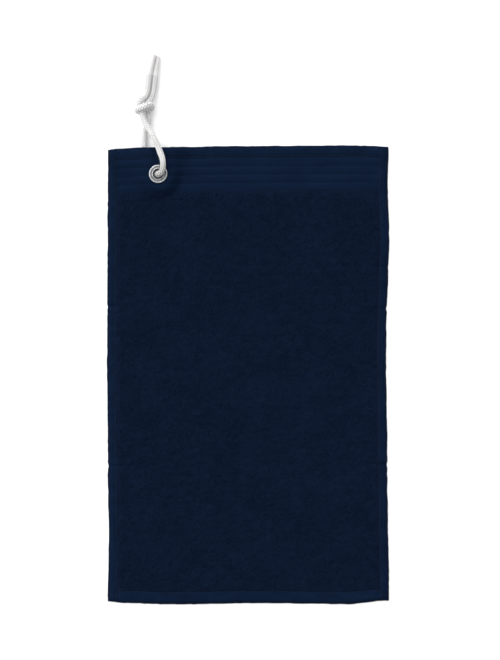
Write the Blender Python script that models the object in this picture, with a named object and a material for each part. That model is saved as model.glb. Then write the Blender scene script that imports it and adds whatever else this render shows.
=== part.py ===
"""Golf towel with a metal eyelet and a white cord loop, laid flat on a table.

Frame: +Z up, +Y towards the cord, +X to the right of the towel. The origin is on the table,
under the middle of the towel. Lengths are in metres.

The cloth is one piece: a pile body, a flat woven border along the top, and folded hems. The
eyelet is two pressed rings that clamp the cloth. The cord goes down through the eyelet, comes
back under the cloth, and its two ends meet in a knot beyond the top edge.
"""

import math

import bmesh
import bpy
from mathutils import Matrix, Vector

# ---------------------------------------------------------------- driving dimensions (metres)

GAP = 0.0003                 # clearance between pieces that touch

# cloth
CLOTH_WIDTH = 0.304
CLOTH_LENGTH = 0.495
PILE_THICKNESS = 0.0032      # looped pile body
BORDER_THICKNESS = 0.0022    # flat woven border
HEM_THICKNESS = 0.0030       # folded and sewn edge
EDGE_THICKNESS = 0.0016      # where the fold of a hem rounds off
EDGE_ROUND = 0.0015
PINCH_THICKNESS = 0.0020     # cloth clamped in the eyelet
SIDE_HEM = 0.0085
BOTTOM_HEM = 0.0125
TOP_HEM = 0.0102
BORDER_WIDTH = 0.0475
STEP_WIDTH = 0.0016          # run over which one cloth thickness turns into the next

# how far each edge of the cloth draws in from its rectangle, along the edge from 0 to 1
LEFT_EDGE = ((0.0, 0.0006), (0.14, 0.0020), (0.30, 0.0007), (0.55, 0.0), (0.82, 0.0006), (1.0, 0.0011))
RIGHT_EDGE = ((0.0, 0.0002), (0.30, 0.0021), (0.55, 0.0034), (0.82, 0.0), (0.90, 0.0016), (1.0, 0.0009))
TOP_EDGE = ((0.0, 0.0052), (0.03, 0.0040), (0.15, 0.0026), (0.45, 0.0006), (0.90, 0.0), (1.0, 0.0014))
BOTTOM_EDGE = ((0.0, 0.0030), (0.06, 0.0013), (0.22, 0.0), (0.52, 0.0012), (0.85, 0.0002), (1.0, 0.0040))

# stitching
THREAD_DIAMETER = 0.0006

# cord
CORD_DIAMETER = 0.0062
TIP_DIAMETER = 0.0052
SWING_LEFT = math.radians(18.0)
SWING_RIGHT = math.radians(50.0)

# eyelet
EYELET_FROM_LEFT = 0.0553
EYELET_FROM_TOP = 0.0311
BORE_CLEARANCE = 0.0021      # bore radius beyond the cord's radius
SHEET_METAL = 0.0006
LIP_WIDTH = 0.0018           # raised inner lip of the front ring
GROOVE_WIDTH = 0.0008        # groove between the lip and the outer rim
RIM_WIDTH = 0.0023           # domed outer rim
RING_HEIGHT = 0.0018
WASHER_MARGIN = 0.0003       # the back ring is this much smaller than the front ring
ROLL_WIDTH = 0.0016          # how far the barrel is rolled out over the back ring

# cloth lifted by the cord that lies under it
LIFT_CLEARANCE = 0.0005
LIFT_MARGIN = 0.0010
LIFT_FALL = 0.0240           # run over which the lifted cloth comes down to the table
PINCH_FLAT = 0.0026          # flat cloth around the eyelet's rim
PINCH_FALL = 0.0120

# knot
KNOT_CENTRE = (-0.0149, 0.0737)
KNOT_RADII = (0.0103, 0.0084, 0.0085)
KNOT_ENTRY = 0.0006          # space between the knot and the end of a strand

# ---------------------------------------------------------------- worked out from those

CORD_RADIUS = CORD_DIAMETER / 2
BORE_RADIUS = CORD_RADIUS + BORE_CLEARANCE
BARREL_RADIUS = BORE_RADIUS + SHEET_METAL
CLOTH_HOLE_RADIUS = BARREL_RADIUS + GAP
RIM_RADIUS = BORE_RADIUS + LIP_WIDTH + GROOVE_WIDTH + RIM_WIDTH
WASHER_RADIUS = RIM_RADIUS - WASHER_MARGIN
ROLL_RADIUS = BARREL_RADIUS + ROLL_WIDTH

EYELET_BASE = CORD_DIAMETER + GAP
ROLL_TOP = EYELET_BASE + SHEET_METAL
WEB_BOTTOM = ROLL_TOP + GAP
WASHER_TOP = WEB_BOTTOM + SHEET_METAL
PINCH_BOTTOM = WASHER_TOP + GAP
PINCH_TOP = PINCH_BOTTOM + PINCH_THICKNESS
FLANGE_BOTTOM = PINCH_TOP + GAP
FLANGE_TOP = FLANGE_BOTTOM + RING_HEIGHT

EYELET_X = EYELET_FROM_LEFT - CLOTH_WIDTH / 2
EYELET_Y = CLOTH_LENGTH / 2 - EYELET_FROM_TOP

LIFT = CORD_DIAMETER + LIFT_CLEARANCE
REST_LEAN = math.radians(32.0)      # lean of the strand under the cloth, to the left of +Y
FAN_LEFT = REST_LEAN + SWING_LEFT
FAN_RIGHT = SWING_RIGHT - REST_LEAN

# heights of the cord's centre line
ON_TABLE = CORD_RADIUS
IN_BORE = (PINCH_BOTTOM + PINCH_TOP) / 2
OVER_RING = FLANGE_TOP + GAP + CORD_RADIUS
OVER_CLOTH = LIFT + HEM_THICKNESS + THREAD_DIAMETER + 2 * GAP + CORD_RADIUS
OVER_CORD = CORD_DIAMETER + 2 * GAP + CORD_RADIUS
IN_KNOT = OVER_CORD - 0.0006

# The cord's route, from the eyelet's axis, chosen point by point. Down the front to the bore.
FRONT_ROUTE = (
    (-0.0013, -0.0003, IN_BORE + GAP / 2),
    (-0.0013, -0.0003, IN_BORE + 0.0011),
    (-0.0008, 0.0003, OVER_RING - 0.0028),
    (0.0007, 0.0020, OVER_RING - 0.0008),
    (0.0029, 0.0047, OVER_RING),
    (0.0043, 0.0082, OVER_RING - 0.0001),
    (0.0045, 0.0132, OVER_RING - 0.0008),
    (0.0035, 0.0180, OVER_CLOTH + 0.0004),
    (0.0018, 0.0235, OVER_CLOTH),
    (-0.0002, 0.0290, OVER_CLOTH),
    (-0.0022, 0.0340, OVER_CLOTH),
    (-0.0043, 0.0383, OVER_CLOTH),
    (-0.0064, 0.0427, OVER_CLOTH - 0.0007),
    (-0.0090, 0.0470, OVER_CLOTH - 0.0020),
    (-0.0120, 0.0513, OVER_CORD + 0.0009),
    (-0.0145, 0.0556, OVER_CORD + 0.0001),
    (-0.0160, 0.0599, OVER_CORD - 0.0003),
    (-0.0170, 0.0643, OVER_CORD - 0.0005),
    (-0.0170, 0.0700, IN_KNOT),
)

# Back under the cloth to the knot.
BACK_ROUTE = (
    (-0.0013, -0.0003, IN_BORE - GAP / 2),
    (-0.0013, -0.0003, IN_BORE - 0.0010),
    (-0.0020, 0.0010, ON_TABLE + 0.0024),
    (-0.0034, 0.0035, ON_TABLE + 0.0005),
    (-0.0055, 0.0072, ON_TABLE),
    (-0.0085, 0.0125, ON_TABLE),
    (-0.0119, 0.0190, ON_TABLE),
    (-0.0146, 0.0255, ON_TABLE),
    (-0.0158, 0.0319, ON_TABLE),
    (-0.0154, 0.0400, ON_TABLE),
    (-0.0147, 0.0454, ON_TABLE),
    (-0.0136, 0.0495, ON_TABLE),
    (-0.0122, 0.0535, ON_TABLE),
    (-0.0112, 0.0575, ON_TABLE),
    (-0.0110, 0.0620, ON_TABLE),
    (-0.0112, 0.0680, ON_TABLE),
)

# Out of the knot to the sleeved tips.
LEFT_TAIL_ROUTE = (
    (-0.0160, 0.0755, IN_KNOT),
    (-0.0142, 0.0837, IN_KNOT - 0.0003),
    (-0.0126, 0.0902, IN_KNOT - 0.0009),
    (-0.0114, 0.0967, IN_KNOT - 0.0015),
    (-0.0102, 0.1031, IN_KNOT - 0.0020),
    (-0.0086, 0.1090, IN_KNOT - 0.0023),
)
RIGHT_TAIL_ROUTE = (
    (-0.0088, 0.0765, ON_TABLE + 0.0030),
    (-0.0066, 0.0837, ON_TABLE + 0.0022),
    (-0.0048, 0.0902, ON_TABLE + 0.0010),
    (-0.0036, 0.0967, ON_TABLE + 0.0003),
    (-0.0027, 0.1031, ON_TABLE),
    (-0.0018, 0.1090, ON_TABLE),
)
LEFT_TIP_END = (-0.0030, 0.1298, IN_KNOT - 0.0026)
RIGHT_TIP_END = (0.0007, 0.1284, TIP_DIAMETER / 2 + 0.0001)

# mesh fineness
ROUTE_STEP = 0.0030
BORE_STEPS = 3               # points between two route points where the cord dives through the bore
RING_SIDES = 40
TIP_SIDES = 20
COARSE_CELL = 0.030
FINE_CELL = 0.0065
FINE_REACH = 0.066           # fine cells lie this close to the eyelet
RING_CELLS = 3               # cells from the eyelet's middle to the edge of the flat cloth round it
CLOSEST_LINES = 0.0005       # a line of the close set is left out where it would come nearer to another


# ---------------------------------------------------------------- small tools

def clear_scene():
    """Remove every object that the file starts with."""
    for thing in list(bpy.data.objects):
        bpy.data.objects.remove(thing, do_unlink=True)


def finish(name, colour, roughness, metallic):
    """Make one plain Principled material."""
    material = bpy.data.materials.new(name)
    material.use_nodes = True
    shader = material.node_tree.nodes["Principled BSDF"]
    shader.inputs["Base Color"].default_value = (*colour, 1.0)
    shader.inputs["Roughness"].default_value = roughness
    shader.inputs["Metallic"].default_value = metallic
    return material


def add_object(name, data, material=None, parent=None):
    """Link a new object, with its material and its parent."""
    thing = bpy.data.objects.new(name, data)
    bpy.context.scene.collection.objects.link(thing)
    if material:
        data.materials.append(material)
    if parent:
        thing.parent = parent
    return thing


def smooth(t):
    """Ease from 0 to 1 with level ends."""
    t = min(1.0, max(0.0, t))
    return t * t * (3.0 - 2.0 * t)


def catmull_rom(a, b, c, d, t):
    """Point between b and c on the smooth curve through a, b, c and d."""
    return 0.5 * (2 * b + (c - a) * t + (2 * a - 5 * b + 4 * c - d) * t * t
                  + (3 * b - a - 3 * c + d) * t ** 3)


def edge_inset(points, t):
    """How far an edge draws in at t, on a smooth line through its few points."""
    for (t0, v0), (t1, v1) in zip(points, points[1:]):
        if t <= t1:
            return v0 + (v1 - v0) * smooth((t - t0) / (t1 - t0))
    return points[-1][1]


# ---------------------------------------------------------------- cloth

def grid_lines(length, hem_a, hem_b, eyelet, extra=()):
    """Distances of the grid lines across one side of the cloth.

    There are lines at the hems and their steps, a close set around the eyelet, and cells between
    them that are finer where the cord lifts the cloth.
    """
    fixed = [0.0, EDGE_ROUND, hem_a, hem_a + STEP_WIDTH]
    fixed += [length - hem_b - STEP_WIDTH, length - hem_b, length - EDGE_ROUND, length]
    for place in extra:
        fixed += [place, place + STEP_WIDTH]
    ring_cell = (RIM_RADIUS + PINCH_FLAT) / RING_CELLS
    near = [eyelet + k * ring_cell for k in range(-RING_CELLS, RING_CELLS + 1)]
    near += [eyelet - FINE_REACH, eyelet + FINE_REACH]
    for place in near:
        if 0.0 < place < length and min(abs(place - line) for line in fixed) > CLOSEST_LINES:
            fixed.append(place)
    fixed.sort()
    lines = [0.0]
    for start, end in zip(fixed, fixed[1:]):
        fine = abs((start + end) / 2 - eyelet) < FINE_REACH
        count = math.ceil((end - start) / (FINE_CELL if fine else COARSE_CELL))
        lines += [start + (end - start) * k / count for k in range(1, count + 1)]
    return lines


def fan_distance(x, y):
    """Distance from the fan of places that the strand under the cloth swings through.

    x and y are measured from the eyelet's axis.
    """
    lean = math.atan2(-x, y)
    if -FAN_RIGHT <= lean <= FAN_LEFT:
        return 0.0
    nearest = math.hypot(x, y)
    for angle in (FAN_LEFT, -FAN_RIGHT):
        ray_x = -math.sin(angle)
        ray_y = math.cos(angle)
        along = max(0.0, x * ray_x + y * ray_y)
        nearest = min(nearest, math.hypot(x - along * ray_x, y - along * ray_y))
    return nearest


def underside(x, y):
    """Height of the cloth's underside at a place on the table."""
    dx = x - EYELET_X
    dy = y - EYELET_Y
    away = max(0.0, fan_distance(dx, dy) - CORD_RADIUS - LIFT_MARGIN)
    lifted = LIFT * smooth(1.0 - away / LIFT_FALL)
    from_rim = math.hypot(dx, dy) - RIM_RADIUS - PINCH_FLAT
    pinched = smooth(1.0 - from_rim / PINCH_FALL)
    return lifted + (PINCH_BOTTOM - lifted) * pinched


def thickness(left, right, bottom, top, x, y):
    """Thickness of the cloth from the distances to its four edges and its place."""
    body = BORDER_THICKNESS + (PILE_THICKNESS - BORDER_THICKNESS) * smooth((top - BORDER_WIDTH) / STEP_WIDTH)
    for distance, hem in ((left, SIDE_HEM), (right, SIDE_HEM), (bottom, BOTTOM_HEM), (top, TOP_HEM)):
        in_hem = smooth(1.0 - (distance - hem) / STEP_WIDTH)
        body += (HEM_THICKNESS - body) * in_hem
    nearest = min(left, right, bottom, top)
    body -= (body - EDGE_THICKNESS) * smooth(1.0 - nearest / EDGE_ROUND)
    from_rim = math.hypot(x - EYELET_X, y - EYELET_Y) - RIM_RADIUS - PINCH_FLAT
    return body + (PINCH_THICKNESS - body) * smooth(1.0 - from_rim / PINCH_FALL)


def cloth_point(left, bottom):
    """Place of the cloth's point that lies that far from the left and bottom of its rectangle."""
    u = left / CLOTH_WIDTH
    v = bottom / CLOTH_LENGTH
    x0 = -CLOTH_WIDTH / 2 + edge_inset(LEFT_EDGE, v)
    x1 = CLOTH_WIDTH / 2 - edge_inset(RIGHT_EDGE, v)
    y0 = -CLOTH_LENGTH / 2 + edge_inset(BOTTOM_EDGE, u)
    y1 = CLOTH_LENGTH / 2 - edge_inset(TOP_EDGE, u)
    return x0 + (x1 - x0) * u, y0 + (y1 - y0) * v


def cloth_heights(left, bottom):
    """Place of a point of the cloth with the heights of its underside and its top."""
    x, y = cloth_point(left, bottom)
    low = underside(x, y)
    thick = thickness(left, CLOTH_WIDTH - left, bottom, CLOTH_LENGTH - bottom, x, y)
    return x, y, low, low + thick


def cloth_columns():
    """Distances of the cloth's grid columns from its left edge."""
    return grid_lines(CLOTH_WIDTH, SIDE_HEM, SIDE_HEM, EYELET_FROM_LEFT)


def cloth_rows():
    """Distances of the cloth's grid rows from its bottom edge."""
    border = CLOTH_LENGTH - BORDER_WIDTH - STEP_WIDTH
    return grid_lines(CLOTH_LENGTH, BOTTOM_HEM, TOP_HEM, CLOTH_LENGTH - EYELET_FROM_TOP, (border,))


def make_cloth(material):
    """The towel's cloth: one closed sheet, lifted where the cord lies under it, with the eyelet's hole."""
    columns = cloth_columns()
    rows = cloth_rows()
    shape = bmesh.new()
    low = []
    high = []
    for left in columns:
        places = [cloth_heights(left, bottom) for bottom in rows]
        low.append([shape.verts.new((x, y, z0)) for x, y, z0, z1 in places])
        high.append([shape.verts.new((x, y, z1)) for x, y, z0, z1 in places])
    for i in range(len(columns) - 1):
        for j in range(len(rows) - 1):
            shape.faces.new((high[i][j], high[i + 1][j], high[i + 1][j + 1], high[i][j + 1]))
            shape.faces.new((low[i][j], low[i][j + 1], low[i + 1][j + 1], low[i + 1][j]))
    rim = [(i, 0) for i in range(len(columns))]
    rim += [(len(columns) - 1, j) for j in range(1, len(rows))]
    rim += [(i, len(rows) - 1) for i in range(len(columns) - 2, -1, -1)]
    rim += [(0, j) for j in range(len(rows) - 2, 0, -1)]
    for (i, j), (k, m) in zip(rim, rim[1:] + rim[:1]):
        shape.faces.new((low[i][j], low[k][m], high[k][m], high[i][j]))
    bmesh.ops.recalc_face_normals(shape, faces=shape.faces)
    mesh = bpy.data.meshes.new("towel_cloth")
    shape.to_mesh(mesh)
    shape.free()
    cloth = add_object("towel_cloth", mesh, material)
    cut_eyelet_hole(cloth)
    return cloth


def cut_eyelet_hole(cloth):
    """Cut the hole that the eyelet's barrel passes through."""
    shape = bmesh.new()
    bmesh.ops.create_cone(shape, cap_ends=True, segments=RING_SIDES, radius1=CLOTH_HOLE_RADIUS,
                          radius2=CLOTH_HOLE_RADIUS, depth=PINCH_TOP * 2)
    mesh = bpy.data.meshes.new("eyelet_hole")
    shape.to_mesh(mesh)
    shape.free()
    cutter = add_object("eyelet_hole", mesh)
    cutter.location = (EYELET_X, EYELET_Y, PINCH_BOTTOM)
    cutter.hide_render = True
    cutter.display_type = "WIRE"
    cut = cloth.modifiers.new("eyelet_hole", "BOOLEAN")
    cut.operation = "DIFFERENCE"
    cut.object = cutter


# ---------------------------------------------------------------- stitching

def make_thread(name, places, material):
    """One run of hem stitching, lying just over the cloth along a line of its grid."""
    curve = bpy.data.curves.new(name, "CURVE")
    curve.dimensions = "3D"
    curve.bevel_depth = THREAD_DIAMETER / 2
    curve.bevel_resolution = 1
    curve.use_fill_caps = True
    line = curve.splines.new("POLY")
    line.points.add(len(places) - 1)
    for point, (left, bottom) in zip(line.points, places):
        x, y, _, top = cloth_heights(left, bottom)
        point.co = (x, y, top + GAP + THREAD_DIAMETER / 2, 1.0)
    return add_object(name, curve, material)


def make_threads(material):
    """The four runs of stitching that hold the hems down."""
    side_rows = [row for row in cloth_rows() if EDGE_ROUND < row < CLOTH_LENGTH - EDGE_ROUND]
    inner = [col for col in cloth_columns() if SIDE_HEM + GAP < col < CLOTH_WIDTH - SIDE_HEM - GAP]
    make_thread("hem_thread_left", [(SIDE_HEM, row) for row in side_rows], material)
    make_thread("hem_thread_right", [(CLOTH_WIDTH - SIDE_HEM, row) for row in side_rows], material)
    make_thread("hem_thread_bottom", [(col, BOTTOM_HEM) for col in inner], material)
    make_thread("hem_thread_top", [(col, CLOTH_LENGTH - TOP_HEM) for col in inner], material)


# ---------------------------------------------------------------- turned pieces

def turn_profile(name, profile, sides, material, parent=None):
    """Spin a closed profile of (radius, height) points round the Z axis."""
    shape = bmesh.new()
    ring = [shape.verts.new((radius, 0.0, height)) for radius, height in profile]
    edges = [shape.edges.new((a, b)) for a, b in zip(ring, ring[1:] + ring[:1])]
    bmesh.ops.spin(shape, geom=ring + edges, cent=(0.0, 0.0, 0.0), axis=(0.0, 0.0, 1.0),
                   angle=2 * math.pi, steps=sides, use_merge=True)
    bmesh.ops.remove_doubles(shape, verts=shape.verts, dist=0.000001)
    loose = [edge for edge in shape.edges if not edge.link_faces]
    bmesh.ops.delete(shape, geom=loose, context="EDGES")
    bmesh.ops.recalc_face_normals(shape, faces=shape.faces)
    mesh = bpy.data.meshes.new(name)
    shape.to_mesh(mesh)
    shape.free()
    mesh.shade_smooth()
    mesh.set_sharp_from_angle(angle=math.radians(40.0))
    return add_object(name, mesh, material, parent)


def dome(start, end, base, rise, steps):
    """Points of a low dome from one radius to another."""
    points = []
    for step in range(steps + 1):
        t = step / steps
        points.append((start + (end - start) * t, base + rise * math.sin(math.pi * t)))
    return points


def make_eyelet(material):
    """The front ring with its rolled barrel, and the back ring that it clamps."""
    groove_height = FLANGE_BOTTOM + SHEET_METAL + GAP
    lip_end = BORE_RADIUS + LIP_WIDTH
    rim_start = lip_end + GROOVE_WIDTH
    rise = FLANGE_TOP - groove_height
    front = dome(BORE_RADIUS, lip_end, groove_height, rise, 4)
    front += dome(rim_start, RIM_RADIUS, groove_height, rise, 5)[:-1]
    front += [
        (RIM_RADIUS, FLANGE_BOTTOM + GAP),
        (RIM_RADIUS - GAP, FLANGE_BOTTOM),
        (BARREL_RADIUS, FLANGE_BOTTOM),
        (BARREL_RADIUS, ROLL_TOP),
        (ROLL_RADIUS, ROLL_TOP),
        (ROLL_RADIUS, EYELET_BASE + GAP),
        (ROLL_RADIUS - GAP, EYELET_BASE),
        (BORE_RADIUS + SHEET_METAL, EYELET_BASE),
        (BORE_RADIUS, EYELET_BASE + SHEET_METAL),
    ]
    ring = turn_profile("eyelet_front_ring", front, RING_SIDES, material)
    ring.location = (EYELET_X, EYELET_Y, 0.0)
    inner = BARREL_RADIUS + GAP
    shoulder = ROLL_RADIUS + GAP
    back = [
        (inner, WEB_BOTTOM),
        (shoulder, WEB_BOTTOM),
        (shoulder, EYELET_BASE + GAP),
        (WASHER_RADIUS - SHEET_METAL, EYELET_BASE + GAP),
        (WASHER_RADIUS, ROLL_TOP),
        (WASHER_RADIUS, WASHER_TOP),
        (inner, WASHER_TOP),
    ]
    washer = turn_profile("eyelet_back_ring", back, RING_SIDES, material)
    washer.location = (EYELET_X, EYELET_Y, 0.0)


# ---------------------------------------------------------------- cord

def meets_knot(place):
    """Whether a cord that runs along Y, cut at this place, would reach into the knot's outer shape."""
    centre = Vector((*KNOT_CENTRE, KNOT_RADII[2]))
    for side in ((0, 0), (1, 0), (-1, 0), (0, 1), (0, -1)):
        rim = place + Vector((side[0], 0.0, side[1])) * CORD_RADIUS - centre
        if sum((rim[k] / (KNOT_RADII[k] + KNOT_ENTRY)) ** 2 for k in range(3)) < 1.0:
            return True
    return False


def route_curve(points):
    """Points along the smooth curve through a route's own points, after a straight first run."""
    route = [Vector(point) for point in points]
    ends = route + [2 * route[-1] - route[-2]]
    places = [route[0]]
    for a, b, c, d in zip(ends, ends[1:], ends[2:], ends[3:]):
        steps = max(1, round((c - b).length / ROUTE_STEP))
        if abs(c.z - b.z) > (c - b).length / 2:
            steps = BORE_STEPS
        places += [catmull_rom(a, b, c, d, step / steps) for step in range(steps)]
    return places + [route[-1]]


def stop_at_knot(places):
    """Leave out the places inside the knot, and end the run on its outer shape."""
    kept = []
    for here, after in zip(places, places[1:] + [None]):
        inside = meets_knot(here)
        if not inside:
            kept.append(here)
        if after is None or inside == meets_knot(after):
            continue
        outer, inner = (after, here) if inside else (here, after)
        for _ in range(30):
            middle = (outer + inner) / 2
            if meets_knot(middle):
                inner = middle
            else:
                outer = middle
        kept.append(outer)
    return kept


def make_strand(name, places, material, parent):
    """One plain round length of the cord."""
    curve = bpy.data.curves.new(name, "CURVE")
    curve.dimensions = "3D"
    curve.bevel_depth = CORD_RADIUS
    curve.bevel_resolution = 2
    curve.use_fill_caps = True
    line = curve.splines.new("POLY")
    line.points.add(len(places) - 1)
    for point, place in zip(line.points, places):
        point.co = (*place, 1.0)
    return add_object(name, curve, material, parent)


def make_knot(material, parent):
    """The knot's outer shape."""
    shape = bmesh.new()
    bmesh.ops.create_uvsphere(shape, u_segments=20, v_segments=10, radius=1.0)
    bmesh.ops.scale(shape, vec=KNOT_RADII, verts=shape.verts)
    bmesh.ops.translate(shape, vec=(*KNOT_CENTRE, KNOT_RADII[2]), verts=shape.verts)
    mesh = bpy.data.meshes.new("cord_knot")
    shape.to_mesh(mesh)
    shape.free()
    mesh.shade_smooth()
    return add_object("cord_knot", mesh, material, parent)


def make_tip(name, tail, end, material, parent):
    """The shrunk sleeve on the end of a tail, with a rounded nose."""
    start = Vector(tail[-1])
    along = Vector(end) - start
    length = along.length
    radius = TIP_DIAMETER / 2
    nose = radius * 0.7
    profile = [(0.0, GAP), (radius - GAP, GAP), (radius, 2 * GAP)]
    for step in range(5):
        angle = math.pi / 2 * step / 5
        profile.append((radius * math.cos(angle), length - nose + nose * math.sin(angle)))
    profile.append((0.0, length))
    tip = turn_profile(name, profile, TIP_SIDES, material, parent)
    turn = along.to_track_quat("Z", "Y").to_matrix().to_4x4()
    tip.matrix_local = Matrix.Translation(start) @ turn
    return tip


def make_cord(cord_finish, sleeve_finish):
    """The cord's strands, knot, tails and tips, on the axis that they swing about."""
    axis = bpy.data.objects.new("cord_swing_axis", None)
    bpy.context.scene.collection.objects.link(axis)
    axis.location = (EYELET_X, EYELET_Y, 0.0)
    make_strand("cord_front_strand", stop_at_knot(route_curve(FRONT_ROUTE)), cord_finish, axis)
    make_strand("cord_back_strand", stop_at_knot(route_curve(BACK_ROUTE)), cord_finish, axis)
    make_knot(cord_finish, axis)
    make_strand("cord_tail_left", stop_at_knot(route_curve(LEFT_TAIL_ROUTE)), cord_finish, axis)
    make_strand("cord_tail_right", stop_at_knot(route_curve(RIGHT_TAIL_ROUTE)), cord_finish, axis)
    make_tip("cord_tip_left", LEFT_TAIL_ROUTE, LEFT_TIP_END, sleeve_finish, axis)
    make_tip("cord_tip_right", RIGHT_TAIL_ROUTE, RIGHT_TIP_END, sleeve_finish, axis)


def main():
    """Build the towel."""
    clear_scene()
    navy_cloth = finish("navy_cloth", (0.0045, 0.0105, 0.0270), 0.95, 0.0)
    navy_thread = finish("navy_thread", (0.0060, 0.0140, 0.0360), 0.6, 0.0)
    nickel = finish("nickel", (0.72, 0.71, 0.69), 0.18, 1.0)
    white_cord = finish("white_cord", (0.82, 0.82, 0.80), 0.75, 0.0)
    white_sleeve = finish("white_sleeve", (0.86, 0.86, 0.85), 0.35, 0.0)
    make_cloth(navy_cloth)
    make_threads(navy_thread)
    make_eyelet(nickel)
    make_cord(white_cord, white_sleeve)


main()
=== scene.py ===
"""Looks of the golf towel: terry cloth with a ribbed border, an eyelet and a knotted cord loop.

Everything is in metres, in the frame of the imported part: the origin is on the table under the
middle of the cloth, +Y points towards the cord, +X to the right of the cloth and +Z up.
"""

import logging
import math
from dataclasses import dataclass
from enum import Enum

import bpy
import numpy as np
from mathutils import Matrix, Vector


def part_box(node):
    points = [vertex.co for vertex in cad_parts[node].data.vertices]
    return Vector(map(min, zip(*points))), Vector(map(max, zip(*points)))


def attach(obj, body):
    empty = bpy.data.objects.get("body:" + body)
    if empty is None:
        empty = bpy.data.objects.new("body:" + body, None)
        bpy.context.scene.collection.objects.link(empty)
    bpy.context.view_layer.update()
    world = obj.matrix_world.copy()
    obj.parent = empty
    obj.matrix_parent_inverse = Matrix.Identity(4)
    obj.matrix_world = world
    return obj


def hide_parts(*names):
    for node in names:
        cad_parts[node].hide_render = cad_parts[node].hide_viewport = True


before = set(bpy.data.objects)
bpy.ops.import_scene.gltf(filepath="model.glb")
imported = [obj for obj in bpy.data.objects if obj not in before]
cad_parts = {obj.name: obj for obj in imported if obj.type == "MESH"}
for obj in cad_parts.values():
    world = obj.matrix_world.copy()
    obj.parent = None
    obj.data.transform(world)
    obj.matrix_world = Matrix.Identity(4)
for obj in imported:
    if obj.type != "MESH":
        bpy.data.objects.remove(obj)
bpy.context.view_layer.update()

Points = np.ndarray
Route = tuple[tuple[float, float, float], ...]
Edge = tuple[tuple[float, float], ...]
Profile = list[tuple[float, float]]

log = logging.getLogger("golf_towel")


class Body(Enum):
    """The two bodies of the part that pieces ride on."""

    TOWEL = "towel"
    CORD = "cord"


class Slot(Enum):
    """The finishes that the part's record names."""

    CLOTH = "navy_cloth"
    THREAD = "navy_thread"
    NICKEL = "nickel"
    CORD = "white_cord"
    SLEEVE = "white_sleeve"


class Side(Enum):
    """The four edges of the cloth."""

    LEFT = "left"
    RIGHT = "right"
    BOTTOM = "bottom"
    TOP = "top"


# ---------------------------------------------------------------- shapes

def ease(t: Points) -> Points:
    """Ease from 0 to 1 with level ends, for places that are cut off below 0 and above 1."""
    t = np.clip(t, 0.0, 1.0)
    return t * t * (3.0 - 2.0 * t)


def bell(distance: Points, width: float) -> Points:
    """A smooth hump of height 1, fallen to about a third at its width from the middle."""
    return np.exp(-(distance / width) ** 2)


def along_edge(points: Edge, t: Points) -> Points:
    """Read a smooth line through a few points.

    Args:
        points: Pairs of a place from 0 to 1 and a value.
        t: Places to read.
    Returns:
        The values at those places.
    """
    places = np.array([p for p, _ in points])
    values = np.array([v for _, v in points])
    k = np.clip(np.searchsorted(places, t) - 1, 0, len(places) - 2)
    share = ease((t - places[k]) / (places[k + 1] - places[k]))
    return values[k] + (values[k + 1] - values[k]) * share


def lattice_noise(x: Points, y: Points, cell: float, seed: int) -> Points:
    """Smooth random values on a square lattice.

    Args:
        x: First coordinates.
        y: Second coordinates.
        cell: Size of a lattice cell.
        seed: Seed of the random values.
    Returns:
        Values from -1 to 1.
    """
    size = 256
    table = np.random.default_rng(seed).uniform(-1.0, 1.0, (size, size))
    u, v = x / cell + 64.0, y / cell + 64.0
    i, j = np.floor(u).astype(int), np.floor(v).astype(int)
    fu, fv = ease(u - i), ease(v - j)
    a = table[i % size, j % size] * (1 - fu) + table[(i + 1) % size, j % size] * fu
    b = table[i % size, (j + 1) % size] * (1 - fu) + table[(i + 1) % size, (j + 1) % size] * fu
    return a * (1 - fv) + b * fv


def smooth_route(route: Route, step: float) -> Points:
    """Points at an even spacing on the smooth curve through a route.

    Args:
        route: The route's own points.
        step: Spacing of the result.
    Returns:
        An array of points.
    """
    p = np.array(route, float)
    p = np.vstack([2 * p[0] - p[1], p, 2 * p[-1] - p[-2]])
    fine = []
    for a, b, c, d in zip(p, p[1:], p[2:], p[3:]):
        t = np.linspace(0.0, 1.0, 24, endpoint=False)[:, None]
        fine.append(0.5 * (2 * b + (c - a) * t + (2 * a - 5 * b + 4 * c - d) * t ** 2
                           + (3 * b - a - 3 * c + d) * t ** 3))
    fine = np.vstack(fine + [p[-2][None]])
    return even_spacing(fine, step)


def even_spacing(points: Points, step: float) -> Points:
    """Points at an even spacing along a fine polyline.

    Args:
        points: The polyline.
        step: Spacing of the result.
    Returns:
        An array of points with the same two ends.
    """
    run = np.concatenate([[0.0], np.cumsum(np.linalg.norm(np.diff(points, axis=0), axis=1))])
    count = max(2, int(round(run[-1] / step)))
    places = np.linspace(0.0, run[-1], count + 1)
    return np.column_stack([np.interp(places, run, points[:, k]) for k in range(3)])


def run_length(points: Points) -> float:
    """Length of a polyline."""
    return float(np.linalg.norm(np.diff(points, axis=0), axis=1).sum())


def steady_frames(points: Points) -> tuple[Points, Points]:
    """Two directions across a curve at each point, which turn no more than the curve does.

    Args:
        points: The curve.
    Returns:
        The first and the second direction at each point.
    """
    tangents = np.gradient(points, axis=0)
    tangents /= np.linalg.norm(tangents, axis=1)[:, None]
    start = np.cross(tangents[0], (0.0, 0.0, 1.0))
    if np.linalg.norm(start) < 0.2:
        start = np.cross(tangents[0], (1.0, 0.0, 0.0))
    first = [start / np.linalg.norm(start)]
    for tangent in tangents[1:]:
        side = first[-1] - tangent * np.dot(first[-1], tangent)
        first.append(side / np.linalg.norm(side))
    first = np.array(first)
    return first, np.cross(tangents, first)


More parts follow.
